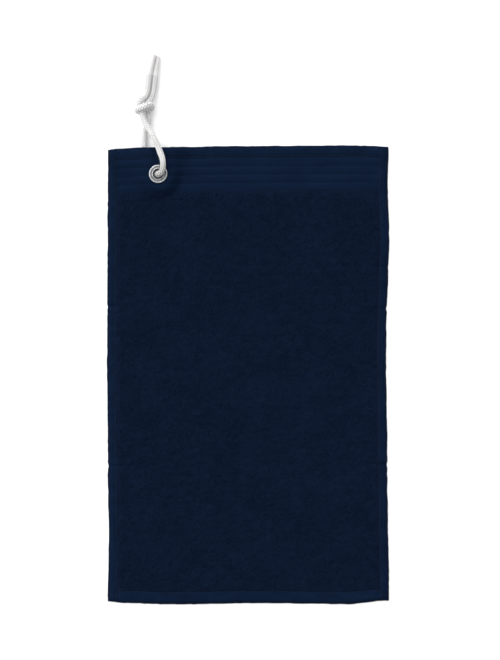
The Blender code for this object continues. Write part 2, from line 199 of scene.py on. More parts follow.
def make_mesh(name: str, points: Points, faces: list[Points], **values: Points) -> bpy.types.Mesh:
    """Make a smooth mesh, leaving out points that no face uses.

    Args:
        name: Name of the mesh.
        points: The corners.
        faces: Arrays of faces; each array holds faces with the same number of corners.
        **values: Numbers at the corners, stored under their names for the material to read.
    Returns:
        The mesh.
    """
    used, corners = np.unique(np.concatenate([f.ravel() for f in faces]), return_inverse=True)
    sizes = np.concatenate([np.full(len(f), f.shape[1]) for f in faces])
    starts = np.concatenate([[0], np.cumsum(sizes)[:-1]])
    mesh = bpy.data.meshes.new(name)
    mesh.vertices.add(len(used))
    mesh.vertices.foreach_set("co", points[used].astype(np.float32).ravel())
    mesh.loops.add(len(corners))
    mesh.loops.foreach_set("vertex_index", corners.astype(np.int32).ravel())
    mesh.polygons.add(len(sizes))
    mesh.polygons.foreach_set("loop_start", starts.astype(np.int32))
    mesh.update(calc_edges=True)
    mesh.validate()
    mesh.shade_smooth()
    for label, numbers in values.items():
        attribute = mesh.attributes.new(label, "FLOAT", "POINT")
        attribute.data.foreach_set("value", numbers[used].astype(np.float32))
    return mesh


def in_scene(name: str, data: bpy.types.ID) -> bpy.types.Object:
    """Make an object from its data and put it in the scene.

    Args:
        name: Name of the object.
        data: Its mesh, camera or light.
    Returns:
        The object.
    """
    made = bpy.data.objects.new(name, data)
    bpy.context.scene.collection.objects.link(made)
    return made


def add_piece(mesh: bpy.types.Mesh, materials: list[bpy.types.Material], body: Body,
              replaced: tuple[str, ...]) -> bpy.types.Object:
    """Put a mesh in the scene as one piece of the object.

    Args:
        mesh: The piece's mesh, whose name the piece takes.
        materials: Its materials.
        body: The body that it rides on.
        replaced: The CAD nodes that it stands for.
    Returns:
        The piece.
    """
    piece = in_scene(mesh.name, mesh)
    for material in materials:
        mesh.materials.append(material)
    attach(piece, body.value)
    if replaced:
        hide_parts(*replaced)
    log.info("%s: %d faces, on body %s", piece.name, len(mesh.polygons), body.value)
    return piece


def ring_faces(rings: int, sides: int, start: int = 0) -> Points:
    """Faces of a tube of rings, seen from outside.

    Args:
        rings: Number of rings.
        sides: Points in each ring.
        start: Index of the first point.
    Returns:
        The faces as an array with four corners each.
    """
    ring, side = np.meshgrid(np.arange(rings - 1), np.arange(sides), indexing="ij")
    after = (side + 1) % sides
    corners = [ring * sides + side, ring * sides + after,
               (ring + 1) * sides + after, (ring + 1) * sides + side]
    return np.stack([c.ravel() for c in corners], axis=1) + start


def tube_faces(rings: int, sides: int, start: int = 0) -> list[Points]:
    """Faces of a tube with closed ends, whose two end points come after its rings.

    Args:
        rings: Number of rings.
        sides: Points in each ring.
        start: Index of the first point.
    Returns:
        The faces of the wall, of the first end and of the last end.
    """
    near = start + np.arange(sides)
    far = near + (rings - 1) * sides
    tip = start + rings * sides
    return [ring_faces(rings, sides, start),
            np.stack([np.roll(near, -1), near, np.full(sides, tip)], axis=1),
            np.stack([far, np.roll(far, -1), np.full(sides, tip + 1)], axis=1)]


def ways_round(line: Points, sides: int) -> Points:
    """Directions from a curve to the points of a ring round each of its points.

    Args:
        line: The curve.
        sides: Points in each ring.
    Returns:
        The directions, ring by ring.
    """
    first, second = steady_frames(line)
    angle = np.linspace(0.0, 2 * math.pi, sides, endpoint=False)
    return first[:, None] * np.cos(angle)[None, :, None] + second[:, None] * np.sin(angle)[None, :, None]


def turned_mesh(name: str, profile: Profile, hollow: Points, centre: Vector, sides: int,
                wobble: float) -> bpy.types.Mesh:
    """Spin a closed profile round an upright axis.

    Args:
        name: Name of the mesh.
        profile: Points of radius and height, with the metal on their left.
        hollow: How dark each point of the profile is painted, with shade and grime, from 0 to 1.
        centre: A point on the axis; its height isn't used.
        sides: Steps round the axis.
        wobble: How far the pressed metal strays from the true shape.
    Returns:
        The mesh.
    """
    angle = np.linspace(0.0, 2 * math.pi, sides, endpoint=False)
    radius = np.array([r for r, _ in profile])[:, None]
    height = np.array([z for _, z in profile])[:, None] + 0.0 * angle
    stray = np.sin(3 * angle + 1.0) * 0.5 + np.sin(7 * angle) * 0.3 + np.sin(11 * angle + 2.0) * 0.2
    radius = radius + wobble * 0.6 * stray
    height = height + wobble * stray[::-1]
    x, y = centre.x + radius * np.cos(angle), centre.y + radius * np.sin(angle)
    points = np.stack([x, y, height], axis=-1).reshape(-1, 3)
    faces = ring_faces(len(profile) + 1, sides) % len(points)
    return make_mesh(name, points, [faces], hollow=np.repeat(hollow, sides))


# ---------------------------------------------------------------- shader nodes

class Nodes:
    """Adds nodes to one node tree and joins them."""

    def __init__(self, tree: bpy.types.NodeTree) -> None:
        """Take the tree to add to."""
        self.tree = tree

    def add(self, kind: str, **settings: object) -> bpy.types.Node:
        """Add a node.

        Args:
            kind: The node's type.
            **settings: Its properties.
        Returns:
            The node.
        """
        node = self.tree.nodes.new(kind)
        for name, value in settings.items():
            setattr(node, name, value)
        return node

    def feed(self, target: bpy.types.NodeSocket, value: object) -> None:
        """Join a socket to an input, or set the input to a value.

        Args:
            target: The input.
            value: The socket or the value.
        """
        if isinstance(value, bpy.types.NodeSocket):
            self.tree.links.new(value, target)
        else:
            target.default_value = value

    def maths(self, operation: str, *values: object, clamp: bool = False) -> bpy.types.NodeSocket:
        """Work out a number.

        Args:
            operation: The kind of sum.
            *values: Sockets or numbers that go in.
            clamp: Whether the result is kept from 0 to 1.
        Returns:
            The result's socket.
        """
        node = self.add("ShaderNodeMath", operation=operation, use_clamp=clamp)
        for target, value in zip(node.inputs, values):
            self.feed(target, value)
        return node.outputs[0]

    def blend(self, *parts: tuple[object, float]) -> bpy.types.NodeSocket:
        """Add up values, each times its own share, and keep the sum from 0 to 1.

        Args:
            *parts: Pairs of a value and its share.
        Returns:
            The sum's socket.
        """
        total = 0.0
        for value, share in parts:
            total = self.maths("ADD", total, self.maths("MULTIPLY", value, share), clamp=True)
        return total

    def colours(self, share: object, low: object, high: object) -> bpy.types.NodeSocket:
        """Mix two colours.

        Args:
            share: How much of the second colour.
            low: First colour, or its socket.
            high: Second colour, or its socket.
        Returns:
            The mixed colour's socket.
        """
        node = self.add("ShaderNodeMix", data_type="RGBA")
        self.feed(node.inputs["Factor"], share)
        self.feed(node.inputs[6], low if isinstance(low, bpy.types.NodeSocket) else (*low, 1.0))
        self.feed(node.inputs[7], high if isinstance(high, bpy.types.NodeSocket) else (*high, 1.0))
        return node.outputs[2]

    def rescale(self, value: object, low: float, high: float, out_low: float,
                out_high: float) -> bpy.types.NodeSocket:
        """Carry a value from one range to another, kept inside the new range.

        Args:
            value: The value's socket.
            low: Lowest value in.
            high: Highest value in.
            out_low: Value out at the lowest.
            out_high: Value out at the highest.
        Returns:
            The new value's socket.
        """
        node = self.add("ShaderNodeMapRange", clamp=True)
        for target, number in zip(node.inputs, (value, low, high, out_low, out_high)):
            self.feed(target, number)
        return node.outputs[0]

    def noise(self, place: object, scale: object, detail: float = 2.0,
              roughness: float = 0.5) -> bpy.types.NodeSocket:
        """Smooth noise.

        Args:
            place: Where it is read.
            scale: Cells to a metre.
            detail: Number of finer layers.
            roughness: Strength of the finer layers.
        Returns:
            The noise value's socket.
        """
        node = self.add("ShaderNodeTexNoise")
        values = {"Vector": place, "Scale": scale, "Detail": detail, "Roughness": roughness}
        for label, value in values.items():
            self.feed(node.inputs[label], value)
        return node.outputs[0]

    def stretched(self, place: object, factor: tuple[float, float, float]) -> bpy.types.NodeSocket:
        """Scale a place by a different factor along each axis.

        Args:
            place: The place's socket.
            factor: The three factors.
        Returns:
            The scaled place's socket.
        """
        node = self.add("ShaderNodeVectorMath", operation="MULTIPLY")
        self.feed(node.inputs[0], place)
        self.feed(node.inputs[1], factor)
        return node.outputs[0]

    def value_of(self, name: str) -> bpy.types.NodeSocket:
        """Read a number stored on the mesh."""
        return self.add("ShaderNodeAttribute", attribute_name=name).outputs["Fac"]

    def place(self) -> bpy.types.NodeSocket:
        """The point on the surface, in the piece's own frame."""
        return self.add("ShaderNodeTexCoord").outputs["Object"]

    def group(self, tree: bpy.types.NodeTree, **values: object) -> bpy.types.Node:
        """Place a node group.

        Args:
            tree: The group.
            **values: Its inputs by name, with _ for a space.
        Returns:
            The group's node.
        """
        node = self.add("ShaderNodeGroup", node_tree=tree)
        for name, value in values.items():
            self.feed(node.inputs[name.replace("_", " ")], value)
        return node

    def bump(self, height: object, depth: float, under: object = None) -> bpy.types.NodeSocket:
        """Turn a height into a surface direction.

        Args:
            height: The height's socket, from 0 to 1.
            depth: Real height of 1, in metres.
            under: A coarser bump that this one lies on.
        Returns:
            The normal's socket.
        """
        node = self.add("ShaderNodeBump")
        node.inputs["Strength"].default_value = 1.0
        node.inputs["Distance"].default_value = depth
        self.feed(node.inputs["Height"], height)
        if under is not None:
            self.feed(node.inputs["Normal"], under)
        return node.outputs[0]


class Effects:
    """Node groups that several finishes share, each built once."""

    def __init__(self) -> None:
        """Build every group."""
        self.grain = self._grain()
        self.weave = self._weave()
        self.lint = self._lint()

    @staticmethod
    def _start(name: str, inputs: dict[str, object],
               outputs: tuple[str, ...]) -> tuple[Nodes, dict, bpy.types.Node]:
        """Start a group with named sockets.

        Args:
            name: Name of the group.
            inputs: Input names; None stands for a place and a number is a default.
            outputs: Names of the outputs.
        Returns:
            The tools for its tree, its input sockets by name, and its output node.
        """
        tree = bpy.data.node_groups.new(name, "ShaderNodeTree")
        for label, default in inputs.items():
            kind = "NodeSocketVector" if default is None else "NodeSocketFloat"
            made = tree.interface.new_socket(label, in_out="INPUT", socket_type=kind)
            if default is not None:
                made.default_value = default
        for label in outputs:
            tree.interface.new_socket(label, in_out="OUTPUT", socket_type="NodeSocketFloat")
        tools = Nodes(tree)
        entry = tools.add("NodeGroupInput")
        return tools, {s.name: s for s in entry.outputs if s.name}, tools.add("NodeGroupOutput")

    def _grain(self) -> bpy.types.NodeTree:
        """Fibres: fine noise over coarser noise, each as a value and as a height.

        Returns:
            The group.
        """
        inputs = {"Place": None, "Fine": 2200.0, "Coarse": 120.0, "Mix": 0.5}
        n, entry, out = self._start("fibre_grain", inputs, ("Value", "Height"))
        fine = n.noise(entry["Place"], entry["Fine"], 3.0, 0.65)
        coarse = n.noise(entry["Place"], entry["Coarse"], 3.0, 0.6)
        rest = n.maths("SUBTRACT", 1.0, entry["Mix"])
        value = n.maths("ADD", n.maths("MULTIPLY", fine, entry["Mix"]), n.maths("MULTIPLY", coarse, rest))
        n.feed(out.inputs["Value"], n.rescale(value, 0.32, 0.68, 0.0, 1.0))
        n.feed(out.inputs["Height"], fine)
        return n.tree

    def _weave(self) -> bpy.types.NodeTree:
        """Plain weave: yarns along X and Y that pass over and under each other.

        Returns:
            The group.
        """
        inputs = {"Place": None, "Warp": 1100.0, "Weft": 900.0, "Uneven": 0.25}
        n, entry, out = self._start("plain_weave", inputs, ("Height", "Gap"))
        parts = n.add("ShaderNodeSeparateXYZ")
        n.feed(parts.inputs[0], entry["Place"])
        stray = n.maths("MULTIPLY", n.noise(entry["Place"], 260.0, 2.0), entry["Uneven"])
        x = n.maths("ADD", n.maths("MULTIPLY", parts.outputs[0], entry["Warp"]), stray)
        y = n.maths("ADD", n.maths("MULTIPLY", parts.outputs[1], entry["Weft"]), stray)
        sx = n.maths("SINE", n.maths("MULTIPLY", x, math.pi))
        sy = n.maths("SINE", n.maths("MULTIPLY", y, math.pi))
        over = n.maths("MULTIPLY", sx, sy)
        yarns = n.maths("MAXIMUM", n.maths("ABSOLUTE", sx), n.maths("ABSOLUTE", sy))
        height = n.maths("ADD", n.maths("MULTIPLY", over, 0.25), n.maths("MULTIPLY", yarns, 0.7), clamp=True)
        n.feed(out.inputs["Height"], height)
        n.feed(out.inputs["Gap"], n.rescale(yarns, 0.25, 0.75, 1.0, 0.0))
        return n.tree

    def _lint(self) -> bpy.types.NodeTree:
        """Specks of lint and dust, and soft patches where cloth is rubbed.

        Returns:
            The group.
        """
        inputs = {"Place": None, "Specks": 90.0, "Patches": 30.0}
        n, entry, out = self._start("lint_and_rub", inputs, ("Speck", "Rubbed"))
        cells = n.add("ShaderNodeTexVoronoi")
        n.feed(cells.inputs["Vector"], entry["Place"])
        n.feed(cells.inputs["Scale"], entry["Specks"])
        few = n.maths("GREATER_THAN", n.noise(entry["Place"], entry["Specks"], 0.0), 0.66)
        near = n.rescale(cells.outputs["Distance"], 0.02, 0.10, 1.0, 0.0)
        n.feed(out.inputs["Speck"], n.maths("MULTIPLY", few, near))
        rub = n.noise(entry["Place"], entry["Patches"], 4.0, 0.6)
        n.feed(out.inputs["Rubbed"], n.rescale(rub, 0.35, 0.7, 0.0, 1.0))
        return n.tree


# ---------------------------------------------------------------- finishes

Colour = tuple[float, float, float]


@dataclass(frozen=True)
class Finish:
    """What every finish has: its name and the numbers that go on the shader itself."""

    name: str
    specular: float = 0.3
    sheen: float = 0.0
    sheen_spread: float = 0.5

    def start(self) -> tuple[bpy.types.Material, Nodes, bpy.types.Node]:
        """Make the material.

        Returns:
            The material, the tools for its nodes, and its Principled shader.
        """
        material = bpy.data.materials.new(self.name)
        material.use_nodes = True
        shader = material.node_tree.nodes["Principled BSDF"]
        shader.inputs["Specular IOR Level"].default_value = self.specular
        shader.inputs["Sheen Weight"].default_value = self.sheen
        shader.inputs["Sheen Roughness"].default_value = self.sheen_spread
        return material, Nodes(material.node_tree), shader


@dataclass(frozen=True)
class GrainedFinish(Finish):
    """A finish with grain and wear, whose fineness is given in cells to a metre."""

    fine: float = 1500.0
    coarse: float = 210.0
    mix: float = 0.5                    # share of the fine grain
    stretch: tuple[float, float, float] = (1.0, 1.0, 1.0)
    specks: float = 140.0
    patches: float = 22.0
    rough: tuple[float, float] = (0.9, 0.8)
    relief: float = 0.0002

    def grain(self, n: Nodes, effects: Effects) -> tuple[bpy.types.NodeSocket, bpy.types.NodeSocket]:
        """Place the grain.

        Args:
            n: The material's tools.
            effects: The shared node groups.
        Returns:
            Sockets of its value and of its height.
        """
        place = n.stretched(n.place(), self.stretch)
        node = n.group(effects.grain, Place=place, Fine=self.fine, Coarse=self.coarse, Mix=self.mix)
        return node.outputs["Value"], node.outputs["Height"]

    def wear(self, n: Nodes, effects: Effects) -> tuple[bpy.types.NodeSocket, bpy.types.NodeSocket]:
        """Place the wear: sockets of its specks and of its rubbed patches."""
        node = n.group(effects.lint, Place=n.place(), Specks=self.specks, Patches=self.patches)
        return node.outputs["Speck"], node.outputs["Rubbed"]

    def dress(self, n: Nodes, shader: bpy.types.Node, colour: object, tone: object, height: object) -> None:
        """Feed the shader.

        Args:
            n: The material's tools.
            shader: The Principled shader.
            colour: The colour's socket.
            tone: What the roughness follows, from 0 to 1.
            height: Height of the relief, from 0 to 1.
        """
        n.feed(shader.inputs["Base Color"], colour)
        n.feed(shader.inputs["Roughness"], n.rescale(tone, 0.0, 1.0, *self.rough))
        n.feed(shader.inputs["Normal"], n.bump(height, self.relief))

    def build(self, effects: Effects) -> bpy.types.Material:
        """Build the material.

        Args:
            effects: The shared node groups.
        Returns:
            The material.
        """
        material, n, shader = self.start()
        self.paint(n, shader, effects)
        return material

    def paint(self, n: Nodes, shader: bpy.types.Node, effects: Effects) -> None:
        """Join up the finish's own nodes."""
        raise NotImplementedError


@dataclass(frozen=True)
class TerryFinish(GrainedFinish):
    """Looped cotton pile."""

    name: str = "terry_navy"
    specular: float = 0.05
    mix: float = 0.45
    stretch: tuple[float, float, float] = (0.6, 1.0, 1.0)
    rough: tuple[float, float] = (0.98, 0.86)
    relief: float = 0.0006
    # painted shade: hollow is the colour between the loops, loop the colour of their tops
    hollow: Colour = (0.0007, 0.0027, 0.0093)
    loop: Colour = (0.0038, 0.0105, 0.0310)
    lint: Colour = (0.022, 0.034, 0.062)

    def paint(self, n: Nodes, shader: bpy.types.Node, effects: Effects) -> None:
        """Loops over hollows painted dark as shade, with grain, rubbed patches and lint.

        Args:
            n: The material's tools.
            shader: The Principled shader.
            effects: The shared node groups.
        """
        value, height = self.grain(n, effects)
        speck, rubbed = self.wear(n, effects)
        # the pile value is the cloth's tone with painted shade: between the loops and in the crease beside
        # the cord
        tone_and_shade = n.rescale(n.value_of("pile"), 0.15, 0.95, 0.0, 1.0)
        base = n.colours(n.blend((tone_and_shade, 0.45), (value, 0.40), (rubbed, 0.15)), self.hollow, self.loop)
        colour = n.colours(n.maths("MULTIPLY", speck, 0.35), base, self.lint)
        self.dress(n, shader, colour, value, height)


@dataclass(frozen=True)
class WovenFinish(GrainedFinish):
    """Flat woven cotton: the ribbed border and the folded hems."""

    name: str = "woven_navy"
    specular: float = 0.04
    fine: float = 1900.0
    coarse: float = 95.0
    mix: float = 0.35
    stretch: tuple[float, float, float] = (0.35, 1.0, 1.0)
    specks: float = 120.0
    patches: float = 35.0
    rough: tuple[float, float] = (0.95, 0.80)
    relief: float = 0.00018
    # deep is the colour where grooves, weave gaps and edges are painted dark as shade
    deep: Colour = (0.0011, 0.0044, 0.0148)
    face: Colour = (0.0038, 0.0123, 0.0350)
    lint: Colour = (0.03, 0.05, 0.09)
    warp: float = 1150.0
    weft: float = 980.0
    uneven: float = 0.5
    weave_relief: float = 0.00016

    def paint(self, n: Nodes, shader: bpy.types.Node, effects: Effects) -> None:
        """Plain weave with its gaps painted darker as shade, over the grain of its yarns.

        Args:
            n: The material's tools.
            shader: The Principled shader.
            effects: The shared node groups.
        """
        value, height = self.grain(n, effects)
        speck, rubbed = self.wear(n, effects)
        weave = n.group(effects.weave, Place=n.place(), Warp=self.warp, Weft=self.weft, Uneven=self.uneven)
        # the pile value carries painted light and shade from the ribs, their grooves, the right hem and the
        # edges
        share = n.blend((n.value_of("pile"), 0.50), (value, 0.32), (rubbed, 0.18))
        # painted shade in the gaps of the weave
        share = n.maths("SUBTRACT", share, n.maths("MULTIPLY", weave.outputs["Gap"], 0.25), clamp=True)
        base = n.colours(share, self.deep, self.face)
        self.dress(n, shader, n.colours(n.maths("MULTIPLY", speck, 0.25), base, self.lint), share, height)
        under = shader.inputs["Normal"].links[0].from_socket
        n.feed(shader.inputs["Normal"], n.bump(weave.outputs["Height"], self.weave_relief, under))


@dataclass(frozen=True)
class ThreadFinish(GrainedFinish):
    """Twisted sewing thread."""

    name: str = "thread_navy"
    specular: float = 0.2
    fine: float = 3600.0
    coarse: float = 700.0
    rough: tuple[float, float] = (0.70, 0.55)
    relief: float = 0.00015
    low: Colour = (0.0012, 0.0046, 0.0144)
    high: Colour = (0.0034, 0.0106, 0.0304)

    def paint(self, n: Nodes, shader: bpy.types.Node, effects: Effects) -> None:
        """Two tones of thread by the grain."""
        value, height = self.grain(n, effects)
        self.dress(n, shader, n.colours(value, self.low, self.high), value, height)


@dataclass(frozen=True)
class BraidFinish(GrainedFinish):
    """White braided polyester yarn."""

    name: str = "braid_white"
    specular: float = 0.25
    sheen: float = 0.08
    fine: float = 2600.0
    coarse: float = 420.0
    mix: float = 0.6
    specks: float = 400.0
    patches: float = 240.0
    rough: tuple[float, float] = (0.80, 0.60)
    relief: float = 0.00022
    # painted shade: hollow is the colour of the gaps between the yarns
    hollow: Colour = (0.09, 0.09, 0.09)
    yarn: Colour = (0.90, 0.90, 0.90)
    soiled: Colour = (0.68, 0.68, 0.67)
    # painted shade on the stretch in and over the eyelet
    shade_grey: Colour = (0.50, 0.495, 0.48)

    def paint(self, n: Nodes, shader: bpy.types.Node, effects: Effects) -> None:
        """White yarns over gaps painted dark as shade, soiled in patches, and painted grey as shade in and
        near the eyelet.

        Args:
            n: The material's tools.
            shader: The Principled shader.
            effects: The shared node groups.
        """
        value, height = self.grain(n, effects)
        soil = n.maths("MULTIPLY", self.wear(n, effects)[1], n.rescale(value, 0.0, 1.0, 0.35, 0.9))
        # painted shade: the rubbed value greys the cord in and near the eyelet
        metal = n.maths("MULTIPLY", n.value_of("rubbed"), n.rescale(value, 0.0, 1.0, 0.7, 1.0))
        # the gaps between the yarns are painted dark as shade
        tone_and_shade = n.rescale(n.value_of("yarn"), 0.36, 0.92, 0.0, 1.0)
        clean, soiled, grey = (n.colours(tone_and_shade, self.hollow, tone)
                               for tone in (self.yarn, self.soiled, self.shade_grey))
        self.dress(n, shader, n.colours(metal, n.colours(soil, clean, soiled), grey), value, height)


@dataclass(frozen=True)
class SleeveFinish(GrainedFinish):
    """White shrunk plastic, slightly wrinkled."""

    name: str = "sleeve_white"
    specular: float = 0.45
    fine: float = 900.0
    coarse: float = 260.0
    mix: float = 0.4
    specks: float = 300.0
    patches: float = 150.0
    rough: tuple[float, float] = (0.28, 0.46)
    relief: float = 0.00010
    subsurface: float = 0.05
    subsurface_reach: float = 0.002
    low: Colour = (0.62, 0.62, 0.615)
    high: Colour = (0.71, 0.71, 0.705)

    def paint(self, n: Nodes, shader: bpy.types.Node, effects: Effects) -> None:
        """White plastic, a little dull where it is handled.

        Args:
            n: The material's tools.
            shader: The Principled shader.
            effects: The shared node groups.
        """
        value, height = self.grain(n, effects)
        shader.inputs["Subsurface Weight"].default_value = self.subsurface
        shader.inputs["Subsurface Scale"].default_value = self.subsurface_reach
        colour = n.colours(self.wear(n, effects)[1], self.high, self.low)
        self.dress(n, shader, colour, value, height)


@dataclass(frozen=True)
class NickelFinish(GrainedFinish):
    """Nickel-plated pressed sheet with handling marks."""

    name: str = "nickel_plate"
    specular: float = 0.5
    fine: float = 5200.0
    coarse: float = 330.0
    mix: float = 0.4
    stretch: tuple[float, float, float] = (1.0, 0.15, 1.0)
    specks: float = 500.0
    patches: float = 260.0
    rough: tuple[float, float] = (0.14, 0.30)
    relief: float = 0.00002
    grime_rough: float = 0.4            # added to the roughness in the hollows
    bright: Colour = (0.60, 0.61, 0.64)
    dull: Colour = (0.34, 0.345, 0.36)
    # painted shade in the groove and down the bore, and grime on the back ring
    grime_and_shade: Colour = (0.020, 0.019, 0.017)

    def paint(self, n: Nodes, shader: bpy.types.Node, effects: Effects) -> None:
        """Plate that is dull where it is rubbed, with rough hollows painted dark as shade.

        Args:
            n: The material's tools.
            shader: The Principled shader.
            effects: The shared node groups.
        """
        value, height = self.grain(n, effects)
        # the hollow value paints shade into the groove and the bore
        hollow = n.value_of("hollow")
        plate = n.colours(self.wear(n, effects)[1], self.bright, self.dull)
        shader.inputs["Metallic"].default_value = 1.0
        self.dress(n, shader, n.colours(hollow, plate, self.grime_and_shade), value, height)
        rough = shader.inputs["Roughness"].links[0].from_socket
        rougher = n.maths("ADD", rough, n.maths("MULTIPLY", hollow, self.grime_rough))
        n.feed(shader.inputs["Roughness"], rougher)


@dataclass(frozen=True)
class FloorFinish(Finish):
    """Plain pale paper."""

    name: str = "floor_paper"
    specular: float = 0.0
    low: Colour = (0.95, 0.95, 0.95)
    high: Colour = (0.97, 0.97, 0.97)
    rough: float = 0.9
    lift: float = 0.03
    cloud: float = 3.0              # cells to a metre

    def build(self) -> bpy.types.Material:
        """Build the material; a little light of its own keeps its shadows pale.

        Returns:
            The material.
        """
        material, n, shader = self.start()
        cloud = n.noise(n.place(), self.cloud)
        n.feed(shader.inputs["Base Color"], n.colours(cloud, self.low, self.high))
        shader.inputs["Roughness"].default_value = self.rough
        shader.inputs["Emission Color"].default_value = (1.0, 1.0, 1.0, 1.0)
        shader.inputs["Emission Strength"].default_value = self.lift
        return material


# ---------------------------------------------------------------- cloth

@dataclass
class Cloth:
    """The towel's cloth: terry pile, a ribbed border along the top, and folded hems."""

    terry: bpy.types.Material
    border: bpy.types.Material
    hem: bpy.types.Material
    width: float = 0.304
    length: float = 0.495
    pile_thickness: float = 0.0032
    border_thickness: float = 0.0022
    hem_thickness: float = 0.0030
    edge_thickness: float = 0.0016
    edge_round: float = 0.0015
    edge_bulge: float = 0.00055
    pinch_thickness: float = 0.0020
    side_hem: float = 0.0085
    bottom_hem: float = 0.0125
    top_hem: float = 0.0102
    border_width: float = 0.0475
    step_width: float = 0.0016
    left_edge: Edge = (
        (0.0, 0.0006), (0.14, 0.0020), (0.30, 0.0007), (0.55, 0.0), (0.82, 0.0006), (1.0, 0.0011))
    right_edge: Edge = (
        (0.0, 0.0002), (0.30, 0.0021), (0.55, 0.0034), (0.82, 0.0), (0.90, 0.0016), (1.0, 0.0009))
    top_edge: Edge = (
        (0.0, 0.0052), (0.03, 0.0040), (0.15, 0.0026), (0.45, 0.0006), (0.90, 0.0), (1.0, 0.0014))
    bottom_edge: Edge = (
        (0.0, 0.0030), (0.06, 0.0013), (0.22, 0.0), (0.52, 0.0012), (0.85, 0.0002), (1.0, 0.0040))
    eyelet: tuple[float, float] = (-0.0967, 0.2164)
    hole_radius: float = 0.0061
    rim_radius: float = 0.0101
    pinch_bottom: float = 0.0083
    pinch_flat: float = 0.0026
    pinch_fall: float = 0.0150
    lift: float = 0.0067
    lift_reach: float = 0.0041
    lift_fall: float = 0.0240
    fan_left: float = math.radians(50.0)
    fan_right: float = math.radians(18.0)
    cell: float = 0.00085
    edge_lines: tuple[float, ...] = (0.0, 0.00022, 0.0005, 0.0009, 0.0015, 0.0022)
    coarse: int = 3                 # top cells to one cell of the underside
    hole_block: int = 21            # top cells across the patch round the hole
    loop_pitch: tuple[float, float] = (0.00150, 0.00185)
    loop_height: float = 0.00115
    rib_pitch: float = 0.0090
    rib_start: float = 0.0018
    rib_height: float = 0.00044
    rib_rise: float = 0.26          # share of a rib's pitch over which it rises
    rib_groove: float = 0.00030
    nap_height: float = 0.00022
    pucker: tuple[float, float] = (0.00016, 0.00018)            # of the hems, finely and coarsely
    sway: tuple[float, float, float] = (0.00035, 0.00022, 0.00015)
    stitch: float = 0.0032
    seam_depth: float = 0.00095
    seam_width: float = 0.00115
    side_seam: float = 0.30         # the side seams are slacker than the other two
    hem_fall: float = 0.0042
    hem_drop: float = 0.00110
    hem_pillow: float = 0.00030
    ragged: tuple[float, float] = (0.00022, 0.00030)            # of the edges, finely and coarsely
    lighter_left: tuple[float, float] = (0.0072, 0.45)             # pile lighter beside the left hem
    brushed: tuple[float, float] = (0.0110, 0.22)               # and below the border
    shaded_edges: tuple[float, float, float] = (0.75, 0.95, 0.35)   # left, bottom and right
    shade_runs: tuple[float, float, float] = (0.0032, 0.0048, 0.0020)
    # the crease beside the cord is also painted dark as the cord's shadow
    crease_start: tuple[float, float] = (-0.0026, 0.0120)       # from the eyelet's axis
    crease_end: tuple[float, float] = (-0.0054, 0.0290)
    crease_width: float = 0.0027
    crease_depth: float = 0.0009
    fold_pull: float = 0.0007       # how far a fold draws the edge in
    fold_furrow: float = 0.0007
    fold_ridge: float = 0.0005
    folds: tuple[tuple[float, Side, float], ...] = (
        (0.0735, Side.LEFT, 1.0), (0.0720, Side.RIGHT, 0.9), (-0.0985, Side.LEFT, 1.0),
        (-0.0965, Side.RIGHT, 1.2), (0.1165, Side.RIGHT, 0.7), (0.0665, Side.LEFT, 0.5),
        (-0.1065, Side.RIGHT, 0.5))

    def lines(self, length: float) -> Points:
        """Grid lines across one side, a multiple of the coarse cell in number.

        Args:
            length: Length of the side.
        Returns:
            Their distances from its start.
        """
        start = np.array(self.edge_lines)
        count = int(round((length - 2 * start[-1]) / self.cell))
        count += -(count + 2 * (len(start) - 1)) % self.coarse
        middle = np.linspace(start[-1], length - start[-1], count + 1)
        return np.concatenate([start[:-1], middle, (length - start[:-1])[::-1]])

    def outline(self, u: Points, v: Points) -> tuple[Points, Points, Points, Points]:
        """Where the uneven outline lies.

        Args:
            u: Places across the cloth, from 0 to 1.
            v: Places up it, from 0 to 1.
        Returns:
            The x of the left and the right edge, and the y of the bottom and the top edge.
        """
        x, y = self.width / 2, self.length / 2
        return (along_edge(self.left_edge, v) - x, x - along_edge(self.right_edge, v),
                along_edge(self.bottom_edge, u) - y, y - along_edge(self.top_edge, u))

    def place(self, left: Points, bottom: Points) -> tuple[Points, Points]:
        """Place of points of the cloth on the table.

        Args:
            left: Distances from the left of the cloth's rectangle.
            bottom: Distances from its bottom.
        Returns:
            The x and the y of each.
        """
        u, v = left / self.width, bottom / self.length
        x0, x1, y0, y1 = self.outline(u, v)
        x, y = x0 + (x1 - x0) * u, y0 + (y1 - y0) * v
        for fold, side, depth in self.folds:
            inward = left if side is Side.LEFT else self.width - left
            pull = self.fold_pull * depth * bell(y - fold, 0.0030) * ease(1.0 - inward / 0.02)
            x = x + (pull if side is Side.LEFT else -pull)
        fine, coarse = self.ragged
        ragged = fine * lattice_noise(x, y, 0.0045, 11) + coarse * lattice_noise(x, y, 0.014, 12)
        edge = ease(1.0 - np.minimum(left, self.width - left) / 0.006)
        end = ease(1.0 - np.minimum(bottom, self.length - bottom) / 0.006)
        return x + ragged * edge, y + ragged * end

    def from_eyelet(self, x: Points, y: Points) -> Points:
        """Distances from the eyelet's axis."""
        return np.hypot(x - self.eyelet[0], y - self.eyelet[1])

    def pinched(self, x: Points, y: Points) -> Points:
        """How far the eyelet pinches the cloth, from 0 to 1."""
        return ease(1.0 - (self.from_eyelet(x, y) - self.rim_radius - self.pinch_flat) / self.pinch_fall)

